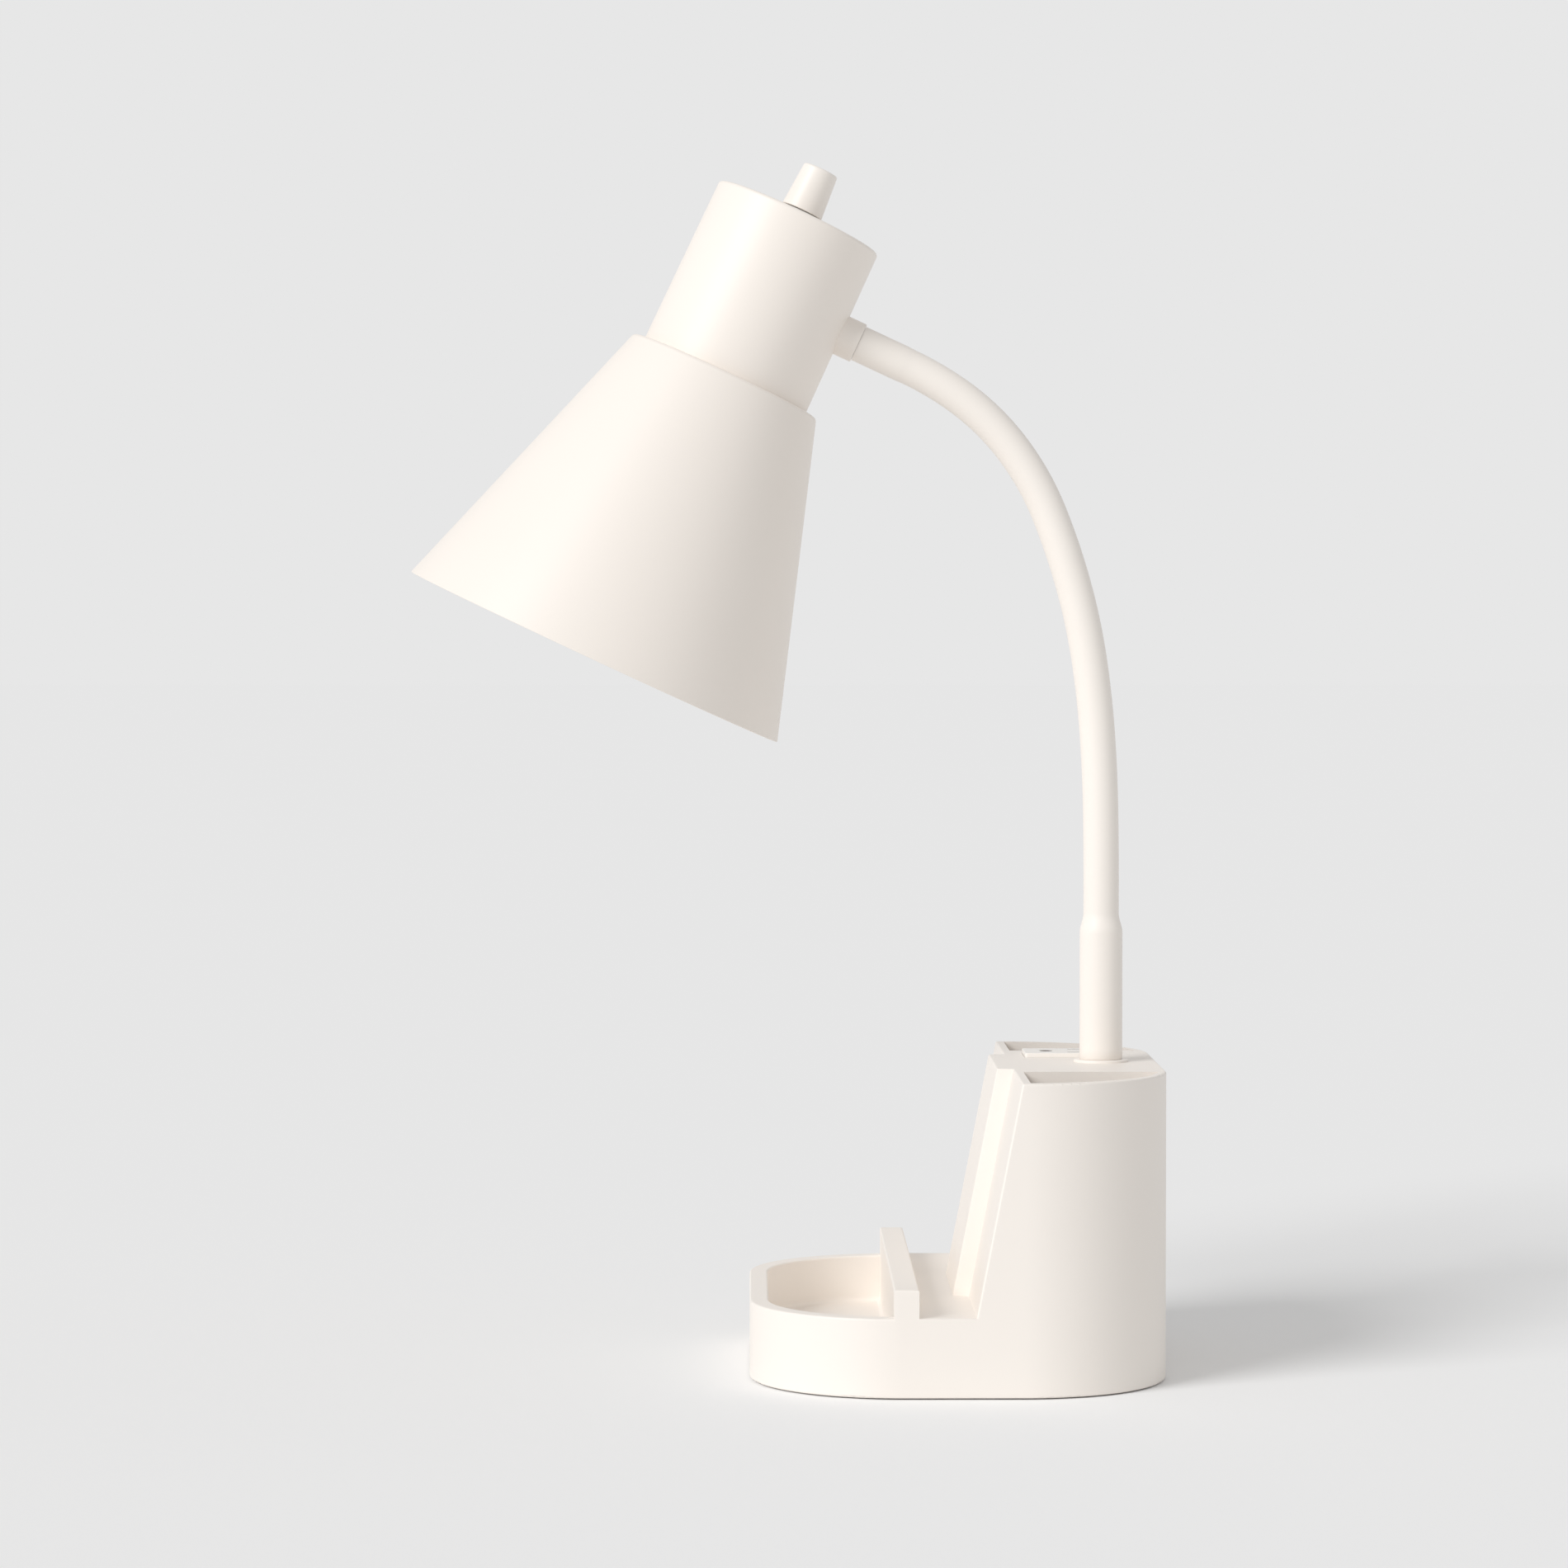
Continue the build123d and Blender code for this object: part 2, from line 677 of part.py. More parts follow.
# Lead from the terminal block to the outlet's back
block_side = block_width / 2
outlet_lead_route = [
    (block_x, block_side, lead_height),
    (block_x, outlet_y, lead_height),
    (block_x, outlet_y, lead_height + block_length),
    (outlet_x, outlet_y, flange_level - 2 * outlet_depth),
    (outlet_x, outlet_y, outlet_bottom - back_thickness),
]
outlet_lead_bend = block_width / 2
with BuildPart() as outlet_wire:
    with BuildLine() as outlet_lead_line:
        FilletPolyline(*outlet_lead_route, radius=outlet_lead_bend)
    with BuildSketch(Plane(origin=outlet_lead_route[0], z_dir=(0, 1, 0))):
        Circle(outlet_lead_radius)
    sweep(path=outlet_lead_line.wire())
outlet_wire.part.label = "outlet_wire"
export_step(outlet_wire.part, "parts/outlet_wire.step")

# The neck's route at rest, in the plane Y = 0: each joint's place and its heading above +X
joints = [(neck_x, first_joint_height)]
headings = [90.0]
link_lengths = [link_length] * (len(link_turns) - 1) + [tail_length]
for turn, length in zip(link_turns, link_lengths):
    x, z = joints[-1]
    heading = headings[-1]
    bend_radius = length / radians(turn)
    after = heading + turn
    x += bend_radius * (sin(radians(after)) - sin(radians(heading)))
    z -= bend_radius * (cos(radians(after)) - cos(radians(heading)))
    joints.append((x, z))
    headings.append(after)
for number, ((x, z), heading) in enumerate(zip(joints, headings)):
    print(f"joint {number + 1}: x {x:.3f} z {z:.3f} heading {heading:.1f}")
link_count = len(link_turns)


def across(place, heading):
    """plane square to the neck at a place in its route"""
    direction = (cos(radians(heading)), 0, sin(radians(heading)))
    return Plane(origin=(place[0], 0, place[1]), x_dir=(0, 1, 0), z_dir=direction)


def further(place, heading, length):
    return (place[0] + length * cos(radians(heading)), place[1] + length * sin(radians(heading)))


joint_planes = [across(place, heading) for place, heading in zip(joints, headings)]
ball_radius = neck_radius - ball_step
socket_radius = ball_radius + ball_gap
ferrule_foot = plateau_height + neck_flange_thickness
core_foot = ferrule_foot + ferrule_floor
stud_bottom = plateau_underside - washer_thickness - nut_thickness - stud_spare
spigot_radius = core_spigot_radius
neck_end_heading = headings[-1]
head_joint_end = joints[-1]
neck_end = further(head_joint_end, neck_end_heading, upper_ferrule_length)

# Thin ring where the neck stands on the tower
with BuildPart() as neck_flange:
    with BuildSketch(Plane.XY.offset(plateau_height)):
        with Locations((neck_x, 0)):
            Circle(flange_radius)
            Circle(stud_radius + stud_hole_gap, mode=Mode.SUBTRACT)
    extrude(amount=neck_flange_thickness)
    flange_edge = neck_flange.edges().group_by(Axis.Z)[-1].sort_by(SortBy.RADIUS)[-1]
    fillet(flange_edge, radius=neck_flange_thickness / 2)
neck_flange.part.label = "neck_flange"
export_step(neck_flange.part, "parts/neck_flange.step")

# Lower ferrule: a steel cup round the neck's foot, with a hollow stud through the tower's top
with BuildPart() as lower_ferrule:
    with BuildSketch(Plane.XZ):
        Polygon(
            (neck_x + wire_bore, stud_bottom),
            (neck_x + stud_radius, stud_bottom),
            (neck_x + stud_radius, ferrule_foot),
            (neck_x + ferrule_radius, ferrule_foot),
            (neck_x + ferrule_radius, ferrule_top),
            (neck_x + core_radius + sleeve_fit, ferrule_top),
            (neck_x + core_radius + sleeve_fit, core_foot),
            (neck_x + wire_bore, core_foot),
            align=None,
        )
    revolve(axis=Axis((neck_x, 0, 0), (0, 0, 1)))
lower_ferrule.part.label = "lower_ferrule"
export_step(lower_ferrule.part, "parts/lower_ferrule.step")

# Flanged nut on the stud, under the tower's top
nut_corner = nut_flats / 2 / cos(radians(30))
with BuildPart() as neck_nut:
    with BuildSketch(Plane.XY.offset(plateau_underside)):
        with Locations((neck_x, 0)):
            Circle(washer_radius)
    extrude(amount=-washer_thickness)
    with BuildSketch(Plane.XY.offset(plateau_underside - washer_thickness)):
        with Locations((neck_x, 0)):
            RegularPolygon(nut_corner, 6)
    extrude(amount=-nut_thickness)
    with BuildSketch(Plane.XY.offset(plateau_underside)):
        with Locations((neck_x, 0)):
            Circle(stud_radius + sleeve_fit)
    extrude(amount=-2 * nut_thickness, mode=Mode.SUBTRACT)
neck_nut.part.label = "neck_nut"
export_step(neck_nut.part, "parts/neck_nut.step")

# First length of conduit and skin: straight, held in the lower ferrule, with a socket on top
skin_bore = core_radius + sleeve_fit
with BuildPart() as neck_core_0:
    with BuildSketch(Plane.XY.offset(core_foot)):
        with Locations((neck_x, 0)):
            Circle(core_radius)
            Circle(wire_bore, mode=Mode.SUBTRACT)
    extrude(amount=first_joint_height - core_foot)
    with Locations(joint_planes[0]):
        Sphere(socket_radius, mode=Mode.SUBTRACT)
neck_core_0.part.label = "neck_core_0"
export_step(neck_core_0.part, "parts/neck_core_0.step")

shoulder_top = ferrule_top + shoulder_length
with BuildPart() as neck_sleeve_0:
    with BuildSketch(Plane.XZ):
        with BuildLine():
            Polyline(
                (neck_x + skin_bore, first_joint_height - joint_slit),
                (neck_x + skin_bore, ferrule_top + sleeve_fit),
                (neck_x + ferrule_radius + sleeve_fit, ferrule_top + sleeve_fit),
                (neck_x + ferrule_radius + sleeve_fit, ferrule_foot),
                (neck_x + ferrule_skin_radius, ferrule_foot),
                (neck_x + ferrule_skin_radius, ferrule_top),
            )
            Bezier(
                (neck_x + ferrule_skin_radius, ferrule_top),
                (neck_x + ferrule_skin_radius, (ferrule_top + shoulder_top) / 2),
                (neck_x + neck_radius, (ferrule_top + shoulder_top) / 2),
                (neck_x + neck_radius, shoulder_top),
            )
            Polyline(
                (neck_x + neck_radius, shoulder_top),
                (neck_x + neck_radius, first_joint_height - joint_slit),
                (neck_x + skin_bore, first_joint_height - joint_slit),
            )
        make_face()
    revolve(axis=Axis((neck_x, 0, 0), (0, 0, 1)))
    with Locations(joint_planes[0]):
        Sphere(socket_radius, mode=Mode.SUBTRACT)
neck_sleeve_0.part.label = "neck_sleeve_0"
export_step(neck_sleeve_0.part, "parts/neck_sleeve_0.step")

# Further lengths: a ball at the foot of each turns in the socket at the head of the last.
# The conduit is the inside of each ball and the skin its outer ring.
for number in range(link_count):
    foot_plane = joint_planes[number]
    head_plane = joint_planes[number + 1]
    last = number == link_count - 1
    turn = link_turns[number]
    x, z = joints[number]
    heading = headings[number]
    bend_radius = link_lengths[number] / radians(turn)

    with BuildPart() as core:
        with BuildLine(Plane.XZ) as route:
            JernArc((x, z), (cos(radians(heading)), sin(radians(heading))), bend_radius, turn)
        with BuildSketch(foot_plane):
            Circle(core_radius)
        sweep(path=route.line)
        with Locations(foot_plane):
            Sphere(ball_radius)
        # the foot keeps only what lies inside the skin's bore
        with BuildSketch(foot_plane):
            Circle(2 * neck_radius)
            Circle(core_radius, mode=Mode.SUBTRACT)
        extrude(amount=neck_radius, both=True, mode=Mode.SUBTRACT)
        if last:
            with BuildSketch(head_plane):
                Circle(spigot_radius)
            extrude(amount=core_spigot_length)
        else:
            with Locations(head_plane):
                Sphere(socket_radius, mode=Mode.SUBTRACT)
        with BuildSketch(foot_plane.offset(-neck_radius)):
            Circle(wire_bore)
        extrude(amount=neck_radius, mode=Mode.SUBTRACT)
        with BuildSketch(foot_plane):
            Circle(wire_bore)
        sweep(path=route.line, mode=Mode.SUBTRACT)
        if last:
            with BuildSketch(head_plane):
                Circle(wire_bore)
            extrude(amount=core_spigot_length, mode=Mode.SUBTRACT)
    core.part.label = f"neck_core_{number + 1}"
    export_step(core.part, f"parts/{core.part.label}.step")

    with BuildPart() as skin:
        with BuildLine(Plane.XZ) as route:
            JernArc((x, z), (cos(radians(heading)), sin(radians(heading))), bend_radius, turn)
        with BuildSketch(foot_plane):
            Circle(neck_radius)
        sweep(path=route.line)
        with Locations(foot_plane):
            Sphere(ball_radius)
        # a narrow slit bares the ball, whose foot is cut off square
        with BuildSketch(foot_plane):
            Circle(2 * neck_radius)
            Circle(ball_radius, mode=Mode.SUBTRACT)
        extrude(amount=joint_slit, mode=Mode.SUBTRACT)
        with BuildSketch(foot_plane.offset(-ball_foot)):
            Circle(2 * neck_radius)
        extrude(amount=-neck_radius, mode=Mode.SUBTRACT)
        if last:
            with BuildSketch(head_plane):
                Circle(upper_skin_radius)
            extrude(amount=upper_ferrule_length)
            with BuildSketch(head_plane):
                Circle(upper_ferrule_radius + sleeve_fit)
            extrude(amount=upper_ferrule_length, mode=Mode.SUBTRACT)
        else:
            with BuildSketch(head_plane.offset(-joint_slit)):
                Circle(2 * neck_radius)
            extrude(amount=2 * joint_slit, mode=Mode.SUBTRACT)
            with Locations(head_plane):
                Sphere(socket_radius, mode=Mode.SUBTRACT)
        with BuildSketch(foot_plane.offset(-neck_radius)):
            Circle(skin_bore)
        extrude(amount=neck_radius, mode=Mode.SUBTRACT)
        with BuildSketch(foot_plane):
            Circle(skin_bore)
        sweep(path=route.line, mode=Mode.SUBTRACT)
    skin.part.label = f"neck_sleeve_{number + 1}"
    export_step(skin.part, f"parts/{skin.part.label}.step")

# Lead from the terminal block through the neck to the lamp holder, in the plane Y = 0
neck_direction = (cos(radians(neck_end_heading)), sin(radians(neck_end_heading)))
cup_radius = cup_top_radius + (cup_bottom_radius - cup_top_radius) * collar_drop / cup_height
collar_reach = collar_length + cup_radius
block_end = block_x + block_length / 2
with BuildPart() as lamp_wire:
    with BuildLine(Plane.XZ) as wire_line:
        FilletPolyline(
            (block_end, lead_height),
            (neck_x, lead_height),
            (neck_x, first_joint_height),
            radius=wire_bend,
        )
        for (x, z), heading, turn, length in zip(joints, headings, link_turns, link_lengths):
            JernArc((x, z), (cos(radians(heading)), sin(radians(heading))), length / radians(turn), turn)
        Line(head_joint_end, further(neck_end, neck_end_heading, collar_reach - wire_stop))
    with BuildSketch(Plane(origin=(block_end, 0, lead_height), z_dir=(1, 0, 0))):
        Circle(lamp_wire_radius)
    sweep(path=wire_line.wire())
lamp_wire.part.label = "lamp_wire"
export_step(lamp_wire.part, "parts/lamp_wire.step")

# Head: its axis is square to the neck's end. Outlines are (distance from the axis, height above
# the cup's top), and level planes have x towards the neck.
to_neck = (-neck_direction[0], 0, -neck_direction[1])
head_up = (neck_direction[1], 0, -neck_direction[0])
axis_point = further(neck_end, neck_end_heading, collar_reach)
head_top = (axis_point[0] + head_up[0] * collar_drop, 0, axis_point[1] + head_up[2] * collar_drop)
head_axis = Axis(head_top, head_up)
head_section = Plane(origin=head_top, x_dir=to_neck, z_dir=(0, -1, 0))
head_level = Plane(origin=head_top, x_dir=to_neck, z_dir=head_up)
collar_plane = across(neck_end, neck_end_heading)
print(f"cup top {head_top} axis {head_up} neck end {neck_end}")

# Cup, drawn from sheet, with holes for the switch and the stud
switch_hole = bushing_radius + stud_hole_gap
with BuildPart() as socket_cup:
    with BuildSketch(head_section) as cup_outline:
        Polygon(
            (switch_hole, 0),
            (cup_top_radius, 0),
            (cup_bottom_radius, -cup_height),
            (cup_bottom_radius - cup_sheet, -cup_height),
            (cup_top_radius - cup_sheet, -cup_sheet),
            (switch_hole, -cup_sheet),
            align=None,
        )
        fillet(cup_outline.vertices().sort_by_distance((cup_top_radius, 0))[0], radius=cup_round)
        inner_corner = (cup_top_radius - cup_sheet, -cup_sheet)
        fillet(cup_outline.vertices().sort_by_distance(inner_corner)[0], radius=cup_round - cup_sheet)
    revolve(axis=head_axis)
    with BuildSketch(collar_plane):
        Circle(stud_radius + stud_hole_gap)
    extrude(amount=collar_reach, mode=Mode.SUBTRACT)
socket_cup.part.label = "socket_cup"
export_step(socket_cup.part, "parts/socket_cup.step")

# Shade: cone with a turned-in top that the cup stands on
shade_slope = (shade_rim_radius - shade_top_radius) / shade_height
shade_skin = shade_sheet * sqrt(1 + shade_slope**2)
shade_hole = skirt_radius + snug
shade_rim_level = -(cup_height + shade_height)
shade_inner_top = shade_top_radius - shade_skin + shade_slope * shade_sheet
with BuildPart() as shade:
    with BuildSketch(head_section) as shade_outline:
        Polygon(
            (shade_hole, -cup_height),
            (shade_top_radius, -cup_height),
            (shade_rim_radius, shade_rim_level),
            (shade_rim_radius - shade_skin, shade_rim_level),
            (shade_inner_top, -cup_height - shade_sheet),
            (shade_hole, -cup_height - shade_sheet),
            align=None,
        )
        outer_corner = (shade_top_radius, -cup_height)
        fillet(shade_outline.vertices().sort_by_distance(outer_corner)[0], radius=shade_round)
        inner_corner = (shade_inner_top, -cup_height - shade_sheet)
        fillet(shade_outline.vertices().sort_by_distance(inner_corner)[0], radius=shade_round - shade_sheet)
    revolve(axis=head_axis)
shade.part.label = "shade"
export_step(shade.part, "parts/shade.step")

# Collar between the neck and the cup, hollowed to sit on the cup's wall
with BuildPart() as cup_outside:
    with BuildSketch(head_section):
        Polygon(
            (0, 0),
            (cup_top_radius, 0),
            (cup_bottom_radius, -cup_height),
            (0, -cup_height),
            align=None,
        )
    revolve(axis=head_axis)
with BuildPart() as collar:
    with BuildSketch(collar_plane):
        Circle(collar_radius)
        Circle(stud_radius + stud_hole_gap, mode=Mode.SUBTRACT)
    extrude(amount=2 * collar_length)
    add(cup_outside.part, mode=Mode.SUBTRACT)
    collar_face = collar.edges().filter_by(GeomType.CIRCLE).sort_by(SortBy.RADIUS)[-1]
    fillet(collar_face, radius=edge_round / 2)
collar.part.label = "collar"
export_step(collar.part, "parts/collar.step")

# Upper ferrule: holds the conduit's end, with a hollow stud through collar, cup and bracket
saddle_face = cup_radius - cup_sheet - saddle_thickness
nut_face = saddle_face - bracket_thickness
stud_end = collar_reach - (nut_face - nut_thickness - stud_spare)
ferrule_back = upper_ferrule_length
with BuildPart() as upper_ferrule:
    with BuildSketch(collar_plane.offset(-ferrule_back)):
        Circle(upper_ferrule_radius)
    extrude(amount=ferrule_back)
    with BuildSketch(collar_plane):
        Circle(stud_radius)
    extrude(amount=stud_end)
    with BuildSketch(collar_plane.offset(-ferrule_back)):
        Circle(spigot_radius + sleeve_fit)
    extrude(amount=core_spigot_length, mode=Mode.SUBTRACT)
    with BuildSketch(collar_plane.offset(-ferrule_back)):
        Circle(wire_bore)
    extrude(amount=ferrule_back + stud_end, mode=Mode.SUBTRACT)
upper_ferrule.part.label = "upper_ferrule"
export_step(upper_ferrule.part, "parts/upper_ferrule.step")

# Saddle washer: curved on the cup's side, flat on the bracket's
with BuildPart() as cup_inside:
    with BuildSketch(head_section):
        Polygon(
            (0, -cup_sheet),
            (cup_top_radius - cup_sheet, -cup_sheet),
            (cup_bottom_radius - cup_sheet, -cup_height),
            (0, -cup_height),
            align=None,
        )
    revolve(axis=head_axis)
with BuildPart() as saddle_washer:
    with BuildSketch(collar_plane.offset(collar_reach - saddle_face)):
        Circle(washer_radius)
        Circle(stud_radius + stud_hole_gap, mode=Mode.SUBTRACT)
    extrude(amount=-2 * saddle_thickness)
    add(cup_inside.part, mode=Mode.INTERSECT)
saddle_washer.part.label = "saddle_washer"
export_step(saddle_washer.part, "parts/saddle_washer.step")

with BuildPart() as head_nut:
    with BuildSketch(collar_plane.offset(collar_reach - nut_face)):
        RegularPolygon(nut_corner, 6)
        Circle(stud_radius + sleeve_fit, mode=Mode.SUBTRACT)
    extrude(amount=nut_thickness)
head_nut.part.label = "head_nut"
export_step(head_nut.part, "parts/head_nut.step")

# Bracket: one leg under the nut, the other over the lamp holder
leg_foot = -(collar_drop + washer_radius)
bracket_underside = -(bracket_drop + bracket_thickness)
bracket_screws_at = [(-bracket_screw_x, 0), (bracket_screw_x, 0)]
with BuildPart() as holder_bracket:
    with BuildSketch(head_section):
        Polygon(
            (saddle_face, leg_foot),
            (saddle_face, -bracket_drop),
            (-bracket_reach, -bracket_drop),
            (-bracket_reach, bracket_underside),
            (nut_face, bracket_underside),
            (nut_face, leg_foot),
            align=None,
        )
    extrude(amount=bracket_width / 2, both=True)
    with BuildSketch(collar_plane):
        Circle(stud_radius + stud_hole_gap)
    extrude(amount=collar_reach - nut_face + snug, mode=Mode.SUBTRACT)
    with BuildSketch(head_level.offset(bracket_underside)):
        with Locations(*bracket_screws_at):
            Circle(screw_radius)
    extrude(amount=bracket_thickness, mode=Mode.SUBTRACT)
holder_bracket.part.label = "holder_bracket"
export_step(holder_bracket.part, "parts/holder_bracket.step")

with BuildPart() as bracket_screws:
    with BuildSketch(head_level.offset(-bracket_drop)):
        with Locations(*bracket_screws_at):
            Circle(bracket_screw_head)
    extrude(amount=bracket_screw_head_height)
    with BuildSketch(head_level.offset(-bracket_drop)):
        with Locations(*bracket_screws_at):
            Circle(pilot_radius)
    extrude(amount=-screw_length)
bracket_screws.part.label = "bracket_screws"
export_step(bracket_screws.part, "parts/bracket_screws.step")

# Lamp holder: solid above, open below, with a skirt through the shade's hole
with BuildPart() as holder_body:
    with BuildSketch(head_section):
        Polygon(
            (0, bracket_underside),
            (holder_radius, bracket_underside),
            (holder_radius, holder_flange - cup_height),
            (holder_flange_radius, holder_flange - cup_height),
            (holder_flange_radius, -cup_height),
            (skirt_radius, -cup_height),
            (skirt_radius, -cup_height - skirt_length),
            (holder_bore, -cup_height - skirt_length),
            (holder_bore, -holder_floor_drop),
            (0, -holder_floor_drop),
            align=None,
        )
    revolve(axis=head_axis)
    with BuildSketch(head_level.offset(bracket_underside)):
        with Locations(*bracket_screws_at):
            Circle(pilot_radius)
    extrude(amount=-screw_length, mode=Mode.SUBTRACT)
    with BuildSketch(collar_plane.offset(collar_reach - wire_stop)):
        Circle(lamp_wire_radius + snug)
    extrude(amount=-holder_radius, mode=Mode.SUBTRACT)
holder_body.part.label = "holder_body"
export_step(holder_body.part, "parts/holder_body.step")

# Ring that clamps the shade, with grip notches
ring_top = -cup_height - shade_sheet
with BuildPart() as shade_ring:
    with BuildSketch(head_level.offset(ring_top)):
        Circle(ring_radius)
        Circle(skirt_radius + sleeve_fit, mode=Mode.SUBTRACT)
        with PolarLocations(ring_radius, ring_notches):
            Circle(ring_notch_radius, mode=Mode.SUBTRACT)
    extrude(amount=-ring_height)
shade_ring.part.label = "shade_ring"
export_step(shade_ring.part, "parts/shade_ring.step")

with BuildPart() as screw_shell:
    with BuildSketch(head_section):
        Polygon(
            (shell_flange_radius, -holder_floor_drop),
            (shell_radius, -holder_floor_drop),
            (shell_radius, -holder_floor_drop - shell_length),
            (shell_radius - shell_sheet, -holder_floor_drop - shell_length),
            (shell_radius - shell_sheet, -holder_floor_drop - shell_sheet),
            (shell_flange_radius, -holder_floor_drop - shell_sheet),
            align=None,
        )
    revolve(axis=head_axis)
screw_shell.part.label = "screw_shell"
export_step(screw_shell.part, "parts/screw_shell.step")

contact_half = shell_flange_radius - contact_rise
contact_low = -holder_floor_drop - contact_sheet - contact_rise
with BuildPart() as centre_contact:
    with BuildSketch(head_section):
        Polygon(
            (-contact_half, -holder_floor_drop),
            (contact_half, -holder_floor_drop),
            (contact_half, -holder_floor_drop - contact_sheet),
            (contact_width / 2, -holder_floor_drop - contact_sheet),
            (contact_width / 3, contact_low),
            (-contact_width / 3, contact_low),
            (-contact_width / 2, -holder_floor_drop - contact_sheet),
            (-contact_half, -holder_floor_drop - contact_sheet),
            align=None,
        )
    extrude(amount=contact_width / 2, both=True)
centre_contact.part.label = "centre_contact"
export_step(centre_contact.part, "parts/centre_contact.step")

# Turn switch under the cup's top, its nut above, and its leads to the lamp holder
switch_bore = shaft_radius + shaft_gap
switch_underside = -(cup_sheet + switch_height)
with BuildPart() as switch_body:
    with BuildSketch(head_section):
        Polygon(
            (switch_bore, bushing_rise),
            (bushing_radius, bushing_rise),
            (bushing_radius, -cup_sheet),
            (switch_radius, -cup_sheet),
            (switch_radius, switch_underside),
            (0, switch_underside),
            (0, -shaft_depth),
            (switch_bore, -shaft_depth),
            align=None,
        )
    revolve(axis=head_axis)
switch_body.part.label = "switch_body"
export_step(switch_body.part, "parts/switch_body.step")

with BuildPart() as switch_nut:
    with BuildSketch(head_level):
        RegularPolygon(switch_nut_flats / 2 / cos(radians(30)), 6)
        Circle(bushing_radius + sleeve_fit, mode=Mode.SUBTRACT)
    extrude(amount=switch_nut_height)
switch_nut.part.label = "switch_nut"
export_step(switch_nut.part, "parts/switch_nut.step")

with BuildPart() as switch_leads:
    with BuildSketch(head_level.offset(bracket_underside)):
        with Locations((0, -lead_offset), (0, lead_offset)):
            Circle(lead_radius)
    extrude(amount=switch_underside - bracket_underside)
switch_leads.part.label = "switch_leads"
export_step(switch_leads.part, "parts/switch_leads.step")

# Knob on the switch's shaft
knob_top = knob_gap + knob_height
shaft_top = knob_top - knob_skin
with BuildPart() as switch_shaft:
    with BuildSketch(head_level.offset(shaft_rest - shaft_depth)):
        Circle(shaft_radius)
    extrude(amount=shaft_top - shaft_rest + shaft_depth)
switch_shaft.part.label = "switch_shaft"
export_step(switch_shaft.part, "parts/switch_shaft.step")

with BuildPart() as switch_knob:
    with BuildSketch(head_section) as knob_outline:
        Polygon(
            (0, shaft_top),
            (shaft_radius + knob_grip, shaft_top),
            (shaft_radius + knob_grip, knob_gap + knob_recess_depth),
            (knob_recess_radius, knob_gap + knob_recess_depth),
            (knob_recess_radius, knob_gap),
            (knob_base_radius, knob_gap),
            (knob_top_radius, knob_top),
            (0, knob_top),
            align=None,
        )
        fillet(knob_outline.vertices().sort_by_distance((knob_top_radius, knob_top))[0], radius=knob_round)
    revolve(axis=head_axis)
switch_knob.part.label = "switch_knob"
export_step(switch_knob.part, "parts/switch_knob.step")

# Bulb: tip, glass insulator, ringed screw shell, plastic housing and hollow globe
bulb_foot = contact_low - bulb_rest_gap
insulator_level = bulb_foot - bulb_tip_height
bulb_shell_level = insulator_level - bulb_insulator_height
bulb_housing_level = bulb_shell_level - bulb_shell_length
globe_level = bulb_housing_level - bulb_housing_height
with BuildPart() as bulb_tip:
    with BuildSketch(head_section):
        Polygon(
            (0, bulb_foot),
            (contact_width / 3, bulb_foot),
            (bulb_tip_radius, (bulb_foot + insulator_level) / 2),
            (bulb_tip_radius, insulator_level),
            (0, insulator_level),
            align=None,
        )
    revolve(axis=head_axis)
bulb_tip.part.label = "bulb_tip"
export_step(bulb_tip.part, "parts/bulb_tip.step")

with BuildPart() as bulb_insulator:
    with BuildSketch(head_section):
        Polygon(
            (0, insulator_level),
            (bulb_tip_radius, insulator_level),
            (bulb_insulator_radius, bulb_shell_level),
            (0, bulb_shell_level),
            align=None,
        )
    revolve(axis=head_axis)
bulb_insulator.part.label = "bulb_insulator"
export_step(bulb_insulator.part, "parts/bulb_insulator.step")

# the shell's thread is drawn as rings, crest and root by turns
thread_root = bulb_shell_radius - thread_height
thread_top = bulb_shell_level - bulb_shell_sheet - thread_pitch / 2
thread_points = []
for ridge in range(thread_turns):
    level = thread_top - ridge * thread_pitch
    thread_points += [(thread_root, level), (bulb_shell_radius, level - thread_pitch / 2)]
with BuildPart() as bulb_shell:
    with BuildSketch(head_section):
        Polygon(
            (0, bulb_shell_level),
            (bulb_insulator_radius, bulb_shell_level),
            *thread_points,
            (bulb_shell_radius, bulb_housing_level),
            (thread_root - bulb_shell_sheet, bulb_housing_level),
            (thread_root - bulb_shell_sheet, thread_top),
            (0, thread_top),
            align=None,
        )
    revolve(axis=head_axis)
bulb_shell.part.label = "bulb_shell"
export_step(bulb_shell.part, "parts/bulb_shell.step")

flare = bulb_housing_height / 2
with BuildPart() as bulb_housing:
    with BuildSketch(head_section):
        with BuildLine():
            Bezier(
                (bulb_neck_radius, bulb_housing_level),
                (bulb_neck_radius, bulb_housing_level - flare),
                (bulb_radius, globe_level + flare),
                (bulb_radius, globe_level),
            )
            Polyline(
                (bulb_radius, globe_level),
                (bulb_radius - bulb_wall, globe_level),
            )
            Bezier(
                (bulb_radius - bulb_wall, globe_level),
                (bulb_radius - bulb_wall, globe_level + flare),
                (bulb_neck_radius - bulb_wall, bulb_housing_level - flare),
                (bulb_neck_radius - bulb_wall, bulb_housing_level - bulb_wall),
            )
            Polyline(
                (bulb_neck_radius - bulb_wall, bulb_housing_level - bulb_wall),
                (0, bulb_housing_level - bulb_wall),
                (0, bulb_housing_level),
                (bulb_neck_radius, bulb_housing_level),
            )
        make_face()
    revolve(axis=head_axis)
bulb_housing.part.label = "bulb_housing"
export_step(bulb_housing.part, "parts/bulb_housing.step")

